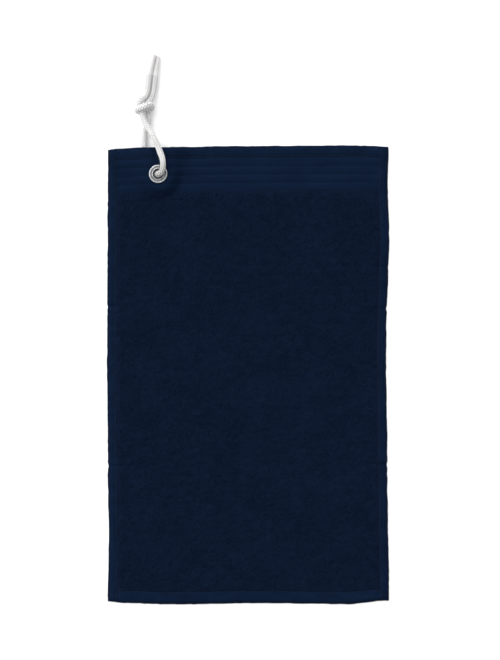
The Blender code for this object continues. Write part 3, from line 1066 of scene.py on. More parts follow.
    def underside(self, x: Points, y: Points) -> Points:
        """Height of the cloth's underside, lifted over the places that the cord swings through.

        Args:
            x: Places on the table.
            y: Places on the table.
        Returns:
            Heights over the table.
        """
        dx, dy = x - self.eyelet[0], y - self.eyelet[1]
        lean = np.arctan2(-dx, dy)
        away = np.hypot(dx, dy)
        for angle in (self.fan_left, -self.fan_right):
            ray = (-math.sin(angle), math.cos(angle))
            run = np.maximum(0.0, dx * ray[0] + dy * ray[1])
            away = np.minimum(away, np.hypot(dx - run * ray[0], dy - run * ray[1]))
        away = np.where((lean >= -self.fan_right) & (lean <= self.fan_left), 0.0, away)
        lifted = self.lift * ease(1.0 - np.maximum(0.0, away - self.lift_reach) / self.lift_fall)
        return lifted + (self.pinch_bottom - lifted) * self.pinched(x, y)

    def thickness(self, left: Points, bottom: Points, x: Points, y: Points) -> Points:
        """Thickness of the cloth before its surface detail.

        Args:
            left: Distances from the left edge.
            bottom: Distances from the bottom edge.
            x: Places on the table.
            y: Places on the table.
        Returns:
            The thicknesses.
        """
        right, top = self.width - left, self.length - bottom
        pile = ease((top - self.border_width) / self.step_width)
        body = self.border_thickness + (self.pile_thickness - self.border_thickness) * pile
        for distance, hem in ((left, self.side_hem), (right, self.side_hem),
                              (bottom, self.bottom_hem), (top, self.top_hem)):
            body += (self.hem_thickness - body) * ease(1.0 - (distance - hem) / self.step_width)
        nearest = np.minimum(np.minimum(left, right), np.minimum(bottom, top))
        body -= (body - self.edge_thickness) * ease(1.0 - nearest / self.edge_round)
        return body + (self.pinch_thickness - body) * self.pinched(x, y)

    def loops(self, left: Points, bottom: Points) -> Points:
        """Height of the pile's loops: rows of rounded loops, each a little out of place.

        Args:
            left: Distances from the left edge.
            bottom: Distances from the bottom edge.
        Returns:
            Heights from 0 to 1.
        """
        size = 512
        rng = np.random.default_rng(5)
        shift_x, shift_y, tall = (rng.uniform(-1.0, 1.0, (size, size)) for _ in range(3))
        v = bottom / self.loop_pitch[1]
        row = np.floor(v).astype(int)
        best = np.zeros_like(left)
        for down in (-1, 0, 1):
            j = row + down
            u = left / self.loop_pitch[0] + 0.5 * (j % 2)
            column = np.floor(u).astype(int)
            for across in (-1, 0, 1):
                i = column + across
                key = (i % size, j % size)
                du = (u - i - 0.5 - 0.28 * shift_x[key]) / 0.62
                dv = (v - j - 0.5 - 0.25 * shift_y[key]) / 0.66
                dome = np.sqrt(np.clip(1.0 - du * du - dv * dv, 0.0, 1.0))
                best = np.maximum(best, dome * (0.78 + 0.22 * tall[key]))
        return best

    def seams(self, left: Points, bottom: Points) -> Points:
        """How deep the hem stitching pulls the cloth in.

        Args:
            left: Distances from the left edge.
            bottom: Distances from the bottom edge.
        Returns:
            Depths from 0 to 1.
        """
        right, top = self.width - left, self.length - bottom
        deep = np.zeros_like(left)
        inside = ease((np.minimum(left, right) - self.side_hem) / 0.002 + 1.0)
        for distance, hem, run, where in (
                (left, self.side_hem, bottom, self.side_seam), (right, self.side_hem, bottom, self.side_seam),
                (bottom, self.bottom_hem, left, inside), (top, self.top_hem, left, inside)):
            tight = 0.72 + 0.28 * np.cos(2 * math.pi * run / self.stitch)
            deep = np.maximum(deep, bell(distance - hem, self.seam_width) * tight * where)
        return deep

    def ribs(self, turns: Points) -> tuple[Points, Points]:
        """The border's ribs, which rise steeply and fall slowly, with a groove between them.

        Args:
            turns: Distances down the border from its first rib, in ribs.
        Returns:
            How high the ribs and how deep the grooves are, from 0 to 1.
        """
        share = np.mod(turns, 1.0)
        rib = np.where(share < self.rib_rise, ease(share / self.rib_rise), ease((1.0 - share) / 0.80 + 0.08))
        groove = np.maximum(bell(share, 0.055), bell(1.0 - share, 0.055)) * (turns > 0.4)
        return rib * ease(turns / 0.08 + 1.0), groove

    def crease_and_shadow(self, x: Points, y: Points) -> Points:
        """How deep the cloth is drawn in beside the cord, and how dark it is painted there as the cord's
        shadow.

        Args:
            x: Places on the table.
            y: Places on the table.
        Returns:
            Depths from 0 to 1.
        """
        (x0, y0), (x1, y1) = self.crease_start, self.crease_end
        dx, dy = x - self.eyelet[0] - x0, y - self.eyelet[1] - y0
        length = math.hypot(x1 - x0, y1 - y0)
        ux, uy = (x1 - x0) / length, (y1 - y0) / length
        along = np.clip(dx * ux + dy * uy, 0.0, length)
        return bell(np.hypot(dx - along * ux, dy - along * uy), self.crease_width)

    def detail(self, left: Points, bottom: Points, x: Points, y: Points) -> tuple[Points, Points]:
        """Surface detail of the cloth's top.

        Args:
            left: Distances from the left edge.
            bottom: Distances from the bottom edge.
            x: Places on the table.
            y: Places on the table.
        Returns:
            How far the surface stands off the plain thickness, and its tone with painted light and shade,
            from 0 to 1.
        """
        right, top = self.width - left, self.length - bottom
        past_hem = np.minimum(np.minimum(left, right) - self.side_hem,
                              np.minimum(bottom - self.bottom_hem, top - self.top_hem))
        inside = ease((past_hem - 0.0006) / 0.0010)
        pile = inside * ease((top - self.border_width - 0.0004) / 0.0012)
        flat = inside * (1.0 - pile)
        hem = 1.0 - inside
        loops = self.loops(left, bottom)
        nap = lattice_noise(x, y, 0.0042, 3)
        offset = pile * ((loops - 0.80) * self.loop_height + self.nap_height * nap)
        rib, groove = self.ribs((top - self.top_hem - self.rib_start) / self.rib_pitch)
        offset += flat * (rib * self.rib_height - groove * self.rib_groove)
        across = np.minimum(left, right) / self.side_hem
        pillow = np.sin(math.pi * np.clip(across, 0.0, 1.0)) * self.hem_pillow
        fine, coarse = self.pucker
        pucker = fine * lattice_noise(x * 0.7, y, 0.0026, 8) + coarse * lattice_noise(x, y, 0.0075, 9)
        offset += hem * (pillow + pucker)
        deep = self.seams(left, bottom)
        offset -= self.seam_depth * deep
        nearest = np.minimum(np.minimum(left, right), np.minimum(bottom, top))
        fall = ease(1.0 - nearest / self.hem_fall)
        offset -= self.hem_drop * fall * ease(nearest / self.edge_round)
        for fold, side, depth in self.folds:
            inward = left if side is Side.LEFT else right
            fade = ease(1.0 - inward / 0.030)
            offset -= self.fold_furrow * depth * bell(y - fold, 0.0016) * fade
            offset += self.fold_ridge * depth * bell(y - fold - 0.0034, 0.0022) * fade
        wide, narrow, everywhere = self.sway
        sway = wide * lattice_noise(x, y, 0.030, 21) + narrow * lattice_noise(x, y, 0.012, 22)
        offset += sway * ease(past_hem / 0.02) + everywhere * lattice_noise(x, y, 0.010, 23)
        # the tone carries painted shade: darker between the loops, where they are low
        tone_and_shade = pile * loops + hem * (0.62 + 0.25 * nap)
        # painted light and shade on the border: lighter where each rib rises, darker as it falls and in the
        # grooves
        tone_and_shade += flat * (0.50 + 0.34 * rib) * (1.0 - 0.50 * groove)
        crease_and_shadow = self.crease_and_shadow(x, y)
        offset -= crease_and_shadow * self.crease_depth
        # painted shadow of the cord in its crease
        tone_and_shade *= 1.0 - crease_and_shadow
        for distance, (reach, lighter) in ((left - self.side_hem, self.lighter_left),
                                           (top - self.border_width, self.brushed)):
            tone_and_shade += pile * lighter * ease(1.0 - distance / reach)
        # painted shade: the right hem is darker
        tone_and_shade *= 1.0 - 0.22 * hem * ease(1.0 - (right - self.side_hem) / 0.001)
        for distance, dark, reach in zip((left, bottom, right), self.shaded_edges, self.shade_runs):
            tone_and_shade *= 1.0 - dark * ease(1.0 - distance / reach)
        tone_and_shade = np.clip(tone_and_shade * (1.0 - 0.8 * deep), 0.0, 1.0)
        clear = ease((self.from_eyelet(x, y) - self.rim_radius - 0.0004) / 0.005)
        return offset * clear, tone_and_shade

    def corner_points(self, left: Points, bottom: Points, x: Points, y: Points,
                      top: bool) -> tuple[Points, Points]:
        """Points of one face of the cloth.

        Args:
            left: Distances from the left edge.
            bottom: Distances from the bottom edge.
            x: Places on the table.
            y: Places on the table.
            top: Whether this is the upper face.
        Returns:
            The points, and the tone of each with painted shade, from 0 to 1.
        """
        low = self.underside(x, y)
        if not top:
            return np.stack([x, y, low], axis=-1), np.full(low.shape, 0.5)
        offset, tone_and_shade = self.detail(left, bottom, x, y)
        high = low + np.maximum(self.thickness(left, bottom, x, y) + offset, 0.0008)
        return np.stack([x, y, high], axis=-1), tone_and_shade

    def side_mesh(self, left: Points, bottom: Points, block: tuple[int, int, int], rings: int,
                  top: bool) -> tuple[Points, Points, list[Points], Points, Points]:
        """One face of the cloth as a grid with a round hole.

        Args:
            left: The grid's lines across.
            bottom: The grid's lines up.
            block: First column, first row and size of the square patch round the hole.
            rings: Rings of cells between that patch's edge and the hole.
            top: Whether this is the upper face.
        Returns:
            The points, the tone of each with painted shade, the faces, the outer edge's points and the hole's
            points.
        """
        nx, ny = len(left), len(bottom)
        a, b = np.meshgrid(left, bottom, indexing="ij")
        x, y = self.place(a, b)
        points, tone_and_shade = self.corner_points(a, b, x, y, top)
        points, tone_and_shade = [points.reshape(-1, 3)], [tone_and_shade.ravel()]
        index = np.arange(nx * ny).reshape(nx, ny)
        c, r, size = block
        keep = np.ones((nx - 1, ny - 1), bool)
        keep[c:c + size, r:r + size] = False
        corners = (index[:-1, :-1], index[1:, :-1], index[1:, 1:], index[:-1, 1:])
        faces = [np.stack([corner[keep] for corner in corners], axis=1)]
        edge = self.loop_of(index)
        outer = self.loop_of(index[c:c + size + 1, r:r + size + 1])
        ea, eb, ex, ey = (m.ravel()[outer] for m in (a, b, x, y))
        dx, dy = ex - self.eyelet[0], ey - self.eyelet[1]
        away = np.hypot(dx, dy)
        start = outer
        count = nx * ny
        for ring in range(1, rings + 1):
            reach = away + (self.hole_radius - away) * ring / rings
            rx, ry = self.eyelet[0] + dx / away * reach, self.eyelet[1] + dy / away * reach
            more, tone = self.corner_points(ea + rx - ex, eb + ry - ey, rx, ry, top)
            points.append(more)
            tone_and_shade.append(tone)
            inner = count + np.arange(len(outer))
            count += len(outer)
            faces.append(np.stack([start, np.roll(start, -1), np.roll(inner, -1), inner], axis=1))
            start = inner
        if not top:
            faces = [f[:, ::-1] for f in faces]
        return np.vstack(points), np.concatenate(tone_and_shade), faces, edge, start

    @staticmethod
    def loop_of(index: Points) -> Points:
        """The outer points of a grid, in order round it."""
        return np.concatenate([index[:-1, 0], index[-1, :-1], index[:0:-1, -1], index[0, :0:-1]])

    def build(self) -> bpy.types.Object:
        """Returns:
            The piece.
        """
        left, bottom = self.lines(self.width), self.lines(self.length)
        block = [self.block_start(lines, centre) for lines, centre in
                 ((left, self.eyelet[0] + self.width / 2), (bottom, self.eyelet[1] + self.length / 2))]
        block.append(self.hole_block)
        tp, tr, tf, t_edge, t_hole = self.side_mesh(left, bottom, tuple(block), 4, True)
        k = self.coarse
        under = tuple(b // k for b in block)
        bp, br, bf, b_edge, b_hole = self.side_mesh(left[::k], bottom[::k], under, 2, False)
        shift = len(tp)
        b_edge, b_hole = b_edge + shift, b_hole + shift
        faces = tf + [f + shift for f in bf]
        points, tone_and_shade = [tp, bp], [tr, br]
        count = len(tp) + len(bp)
        upper = tp[t_edge]
        lower = upper.copy()
        lower[:, 2] = self.underside(upper[:, 0], upper[:, 1])
        run = np.roll(upper, -1, axis=0) - np.roll(upper, 1, axis=0)
        out = np.stack([run[:, 1], -run[:, 0]], axis=1)
        out /= np.linalg.norm(out, axis=1)[:, None]
        above = t_edge
        for share in (0.78, 0.5, 0.22):
            ring = lower + (upper - lower) * share
            ring[:, :2] += out * self.edge_bulge * math.sin(math.pi * share)
            points.append(ring)
            # painted shade: the cloth's edge is darker towards the table
            tone_and_shade.append(np.full(len(ring), 0.45 + 0.3 * share))
            inner = count + np.arange(len(ring))
            count += len(ring)
            faces.append(np.stack([inner, np.roll(inner, -1), np.roll(above, -1), above], axis=1))
            above = inner
        faces.append(self.joined(b_edge, above))
        faces.append(self.joined(b_hole, t_hole)[:, ::-1])
        # the pile value is the cloth's tone with painted light and shade
        mesh = make_mesh("towel_fabric", np.vstack(points), faces, pile=np.concatenate(tone_and_shade))
        finishes = [self.terry, self.border, self.hem]
        piece = add_piece(mesh, finishes, Body.TOWEL, ("towel_cloth",))
        self.paint(mesh)
        return piece

    def block_start(self, lines: Points, centre: float) -> int:
        """First line of the patch round the hole, on a line of the coarse grid."""
        middle = int(np.argmin(np.abs(lines - centre)))
        return int(round((middle - self.hole_block / 2) / self.coarse)) * self.coarse

    def joined(self, few: Points, many: Points) -> Points:
        """Faces between a loop of points and a finer loop beside it.

        Args:
            few: The coarse loop's points.
            many: The fine loop's points.
        Returns:
            The faces.
        """
        k = self.coarse
        ends = np.roll(few, -1)
        steps = [many[::k]] + [np.roll(many, -s)[::k] for s in range(1, k + 1)]
        return np.stack([few, ends] + steps[::-1], axis=1)

    def paint(self, mesh: bpy.types.Mesh) -> None:
        """Give each face its finish by where it lies on the cloth.

        Args:
            mesh: The cloth's mesh.
        """
        centres = np.zeros(len(mesh.polygons) * 3)
        mesh.polygons.foreach_get("center", centres)
        x, y = centres.reshape(-1, 3)[:, 0], centres.reshape(-1, 3)[:, 1]
        x0, x1, y0, y1 = self.outline(x / self.width + 0.5, y / self.length + 0.5)
        side = np.minimum(x - x0, x1 - x)
        hem = (side < self.side_hem) | (y - y0 < self.bottom_hem) | (y1 - y < self.top_hem)
        border = y1 - y < self.border_width
        index = np.where(hem, 2, np.where(border, 1, 0)).astype(np.int32)
        mesh.polygons.foreach_set("material_index", index)

    def top_at(self, left: Points, bottom: Points) -> Points:
        """Points on the cloth's finished top."""
        x, y = self.place(left, bottom)
        return self.corner_points(left, bottom, x, y, True)[0]


@dataclass
class Stitching:
    """One run of stitches that holds a hem down."""

    cloth: Cloth
    material: bpy.types.Material
    side: Side
    radius: float = 0.00032
    hump: float = 0.00038           # rise of a stitch's middle
    sunk: float = 0.00012           # how deep its ends lie in the cloth
    tip: float = 0.0001
    rings: int = 7
    sides: int = 6

    def line(self) -> tuple[Points, Points]:
        """Where the run goes on the cloth.

        Returns:
            Distances from the left and from the bottom, at each stitch's two ends.
        """
        cloth = self.cloth
        upright = self.side in (Side.LEFT, Side.RIGHT)
        start = 0.0024 if upright else cloth.side_hem + 0.0016
        length = cloth.length if upright else cloth.width
        run = np.arange(start, length - start, cloth.stitch)
        across = {Side.LEFT: cloth.side_hem, Side.RIGHT: cloth.width - cloth.side_hem,
                  Side.BOTTOM: cloth.bottom_hem, Side.TOP: cloth.length - cloth.top_hem}[self.side]
        across = np.full(len(run), across) + 0.00018 * lattice_noise(run, run * 0.3, 0.02, 31)
        return (across, run) if upright else (run, across)

    def build(self) -> bpy.types.Object:
        """Build the stitches as one piece.

        Returns:
            The piece.
        """
        left, bottom = self.line()
        ends = self.cloth.top_at(left, bottom)
        share = np.linspace(0.07, 0.93, self.rings)
        angle = np.linspace(0.0, 2 * math.pi, self.sides, endpoint=False)
        points, faces = [], []
        for a, b in zip(ends, ends[1:]):
            if np.hypot(*(a[:2] - self.cloth.eyelet)) < self.cloth.rim_radius + 0.001:
                continue
            along = (b - a) / np.linalg.norm(b - a)
            flat = np.cross((0.0, 0.0, 1.0), along)
            flat /= np.linalg.norm(flat)
            rise = np.cross(along, flat)
            hump = np.sin(math.pi * share)
            line = a + (b - a) * share[:, None] + rise * (self.hump * hump - self.sunk)[:, None]
            thick = self.radius * (0.45 + 0.55 * np.sqrt(hump))
            around = flat * np.cos(angle)[:, None] + rise * np.sin(angle)[:, None]
            start = sum(len(p) for p in points)
            rings = line[:, None] + around[None] * thick[:, None, None]
            points.append(rings.reshape(-1, 3))
            faces += tube_faces(self.rings, self.sides, start)
            points.append(np.array([line[0] - along * self.tip, line[-1] + along * self.tip]))
        mesh = make_mesh(f"stitches_{self.side.value}", np.vstack(points), faces)
        return add_piece(mesh, [self.material], Body.TOWEL, (f"hem_thread_{self.side.value}",))


# ---------------------------------------------------------------- eyelet

@dataclass
class Eyelet:
    """The pressed front ring with its rolled barrel, and the back ring that it clamps."""

    nickel: bpy.types.Material
    bore: float = 0.0052
    metal: float = 0.0006
    lip: float = 0.0018
    groove: float = 0.0008
    gap: float = 0.0003
    roll: float = 0.0016
    flange_height: float = 0.0018
    bore_shade_depth: float = 0.0006     # run over which the bore's wall is painted dark as shade
    washer_grime: float = 0.12
    wobble: tuple[float, float] = (0.00005, 0.00003)
    sides: int = 144
    dome_steps: int = 12
    sharp: float = math.radians(50.0)

    def dome(self, start: float, end: float, base: float, rise: float) -> Profile:
        """Points of a low dome from one radius to another.

        Args:
            start: First radius.
            end: Last radius.
            base: Height of its foot.
            rise: Height of the dome over its foot.
        Returns:
            The points.
        """
        points = []
        for step in range(self.dome_steps + 1):
            t = step / self.dome_steps
            points.append((start + (end - start) * t, base + rise * math.sin(math.pi * t) ** 0.8))
        return points

    def build(self) -> list[bpy.types.Object]:
        """Build both rings.

        Returns:
            The pieces.
        """
        low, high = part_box("eyelet_front_ring")
        centre = (low + high) / 2
        rim_radius = (high.x - low.x) / 2
        top, base = high.z, low.z
        barrel = self.bore + self.metal
        groove = self.bore + self.lip
        flange = top - self.flange_height
        foot = flange + self.metal + self.gap
        front = self.dome(self.bore, groove, foot, top - foot)
        front += self.dome(groove + self.groove, rim_radius, foot, top - foot)[:-1]
        front += [(rim_radius, flange + 2.5 * self.gap), (rim_radius, flange + self.gap),
                  (rim_radius - self.gap, flange), (barrel, flange),
                  (barrel, base + self.metal), (barrel + self.roll, base + self.metal),
                  (barrel + self.roll, base + self.gap), (barrel + self.roll - self.gap, base),
                  (barrel, base), (self.bore, base + self.metal)]
        radii, heights = np.array(front).T
        # painted shade: dark in the groove between lip and rim and down the bore's wall
        in_groove = bell(radii - groove - self.groove / 2, self.groove * 0.60) * (heights > flange)
        in_bore = ease((foot + self.bore_shade_depth - heights) / self.bore_shade_depth) * (radii < barrel + 0.0001)
        hollow = np.maximum(in_groove, in_bore)
        ring = turned_mesh("eyelet_ring", front, hollow, centre, self.sides, self.wobble[0])
        low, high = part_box("eyelet_back_ring")
        outer = (high.x - low.x) / 2
        inner, shoulder = barrel + self.gap, barrel + self.roll + self.gap
        web = high.z - self.metal
        back = [(inner, web), (shoulder, web), (shoulder, low.z), (outer - self.metal, low.z),
                (outer - self.gap / 2, low.z + self.gap / 2), (outer, web - self.gap / 2),
                (outer, high.z - self.gap / 3), (outer - self.gap / 3, high.z), (inner, high.z)]
        grime_and_shade = np.full(len(back), self.washer_grime)
        washer = turned_mesh("eyelet_washer", back[::-1], grime_and_shade, centre, self.sides, self.wobble[1])
        pieces = []
        for mesh, node in ((ring, "eyelet_front_ring"), (washer, "eyelet_back_ring")):
            pieces.append(add_piece(mesh, [self.nickel], Body.TOWEL, (node,)))
            mesh.set_sharp_from_angle(angle=self.sharp)
        return pieces


# ---------------------------------------------------------------- cord

IN_BORE = 0.0093            # heights of the cord's centre line over the table
OVER_RING = 0.0160
OVER_CLOTH = 0.0140
OVER_CORD = 0.0099
IN_KNOT = 0.0093
ON_TABLE = 0.0033


@dataclass
class Braid:
    """A round cord braided from yarns that wind both ways, each over two and under two."""

    material: bpy.types.Material
    diameter: float = 0.0062
    yarns: int = 8
    row: float = 0.00130            # run of the cord from one crossing to the next
    relief: float = 0.00085
    knot_full: float = 1.13         # fullness where the cord is bent round in the knot
    knot_reach: float = 0.0085
    shaded_run: float = 0.0120      # the first stretch, in and over the eyelet, is painted grey as shade
    shade_fade: float = 0.0160
    sides: int = 64
    step: float = 0.00030
    taper_run: float = 0.0030
    taper: float = 0.82
    tail_run: float = 0.032         # the last stretch, which nothing pulls, is a little fuller
    tail_full: float = 1.11
    tail_fade: float = 0.008
    bend_run: float = 0.0060        # the first stretch, squeezed over the eyelet, bulges
    bend_full: float = 1.06
    fade: float = 0.004
    bore_run: float = 0.0030        # the very first, drawn down through the bore, is slimmer
    bore_full: float = 0.90
    bore_fade: float = 0.003
    flatness: float = 0.9           # how far a yarn's rounded top falls towards its edges
    crossing: float = 0.38          # share of the height that comes from passing over or under

    def height(self, turn: Points, run: Points) -> Points:
        """How high the yarns stand.

        Args:
            turn: Places round the cord, from 0 to 1.
            run: Distances along it.
        Returns:
            Heights from 0 to 1.
        """
        a = self.yarns * turn + run / (2 * self.row)
        b = self.yarns * turn - run / (2 * self.row)
        ia, ib = np.floor(a), np.floor(b)
        over_a = np.sin(math.pi / 2 * (b + ia))
        over_b = -np.sin(math.pi / 2 * (a + ib))
        heights = []
        for along, over in ((a - ia, over_a), (b - ib, over_b)):
            top = np.sqrt(1.0 - self.flatness * (2.0 * along - 1.0) ** 2)
            heights.append((1.0 - self.crossing) * top + self.crossing * over)
        return np.clip(np.maximum(*heights), 0.0, 1.0)

    def fullness(self, run: Points, from_knot: Points) -> Points:
        """How full the cord is along its run.

        Args:
            run: Distances from the eyelet's bore.
            from_knot: Distances from the knot's middle.
        Returns:
            Its thickness as shares of its diameter.
        """
        full = 1.0 + (self.tail_full - 1.0) * ease((run - run[-1] + self.tail_run) / self.tail_fade)
        full *= 1.0 + (self.bend_full - 1.0) * ease(1.0 - (run - self.bend_run) / self.fade)
        full *= 1.0 - (1.0 - self.bore_full) * ease(1.0 - (run - self.bore_run) / self.bore_fade)
        full *= 1.0 - (1.0 - self.taper) * ease(1.0 - (run[-1] - run) / self.taper_run)
        return full * (1.0 + (self.knot_full - 1.0) * ease(1.0 - (from_knot - self.knot_reach) / self.fade))

    def build(self, name: str, centre_line: Points, knot: Points,
              replaced: tuple[str, ...]) -> bpy.types.Object:
        """Build a braided length.

        Args:
            name: Name of the piece.
            centre_line: The line that it follows.
            knot: Middle of the knot.
            replaced: CAD nodes that it stands for.
        Returns:
            The piece.
        """
        line = even_spacing(centre_line, self.step)
        run = np.linspace(0.0, run_length(line), len(line))
        turn = np.linspace(0.0, 1.0, self.sides, endpoint=False)
        high = self.height(turn[None, :], run[:, None])
        full = self.fullness(run, np.hypot(line[:, 0] - knot[0], line[:, 1] - knot[1]))
        line[:, 2] = np.maximum(line[:, 2], self.diameter / 2 * full)
        soft = 0.00008 * np.sin(run / 0.0047 + 1.0) + 0.00006 * np.sin(run / 0.0021)
        radius = ((self.diameter / 2 + soft) * full)[:, None] + self.relief * (high - 0.85)
        points = (line[:, None] + ways_round(line, self.sides) * radius[..., None]).reshape(-1, 3)
        points = np.vstack([points, line[0], line[-1]])
        # painted shade on the first stretch, in and over the eyelet
        rubbed = np.repeat(ease(1.0 - (run - self.shaded_run) / self.shade_fade), self.sides)
        mesh = make_mesh(name, points, tube_faces(len(line), self.sides),
                         yarn=np.append(high, [0.5, 0.5]), rubbed=np.append(rubbed, [1.0, 0.0]))
        return add_piece(mesh, [self.material], Body.CORD, replaced)


@dataclass
class Sleeve:
    """The shrunk sleeve on the end of a tail."""

    material: bpy.types.Material
    diameter: float = 0.0056
    mouth: float = 0.0064
    mouth_run: float = 0.006        # run over which the mouth narrows to about a third
    sheet: float = 0.0004
    throat: float = 0.003           # how deep the mouth is
    ripple: float = 0.00006
    weave: float = 0.00005          # of the cord that shows through
    pitch: float = 0.0009
    sides: int = 48
    overlap: float = 0.0022

    def build(self, name: str, tail: Points, end: Points, replaced: str) -> bpy.types.Object:
        """Build the sleeve from a little way down the tail to its tip.

        Args:
            name: Name of the piece.
            tail: The tail's last points.
            end: The tip's end.
            replaced: The CAD node that it stands for.
        Returns:
            The piece.
        """
        start = tail[-1]
        along = (end - start) / np.linalg.norm(end - start)
        length = float(np.linalg.norm(end - start)) + self.overlap
        origin = start - along * self.overlap
        radius, mouth = self.diameter / 2, self.mouth / 2
        nose = radius * 0.75
        run = np.linspace(0.0, length - nose, 60)
        reach = radius + (mouth - radius) * np.exp(-run / self.mouth_run)
        reach -= self.ripple * np.cos(run / self.pitch)
        t = math.pi / 2 * np.linspace(0.12, 1.0, 9)[:-1]
        run = np.append(run, length - nose + nose * np.sin(t))
        reach = np.append(reach, radius * (0.35 + 0.65 * np.cos(t) ** 0.7))
        line = origin + along * run[:, None]
        around = ways_round(line, self.sides)
        angle = np.linspace(0.0, 2 * math.pi, self.sides, endpoint=False)
        turns = run[:, None] / self.pitch
        width = reach[:, None] + self.weave * np.sin(8 * angle + turns) * np.sin(8 * angle - turns)
        outside = line[:, None] + around * width[..., None]
        inside = line[0] + around[0] * (reach[0] - self.sheet)
        throat = line[0] + along * self.throat
        points = np.vstack([inside + along * self.throat, inside, outside.reshape(-1, 3), throat,
                            origin + along * length])
        mesh = make_mesh(name, points, tube_faces(len(line) + 2, self.sides))
        return add_piece(mesh, [self.material], Body.CORD, (replaced,))


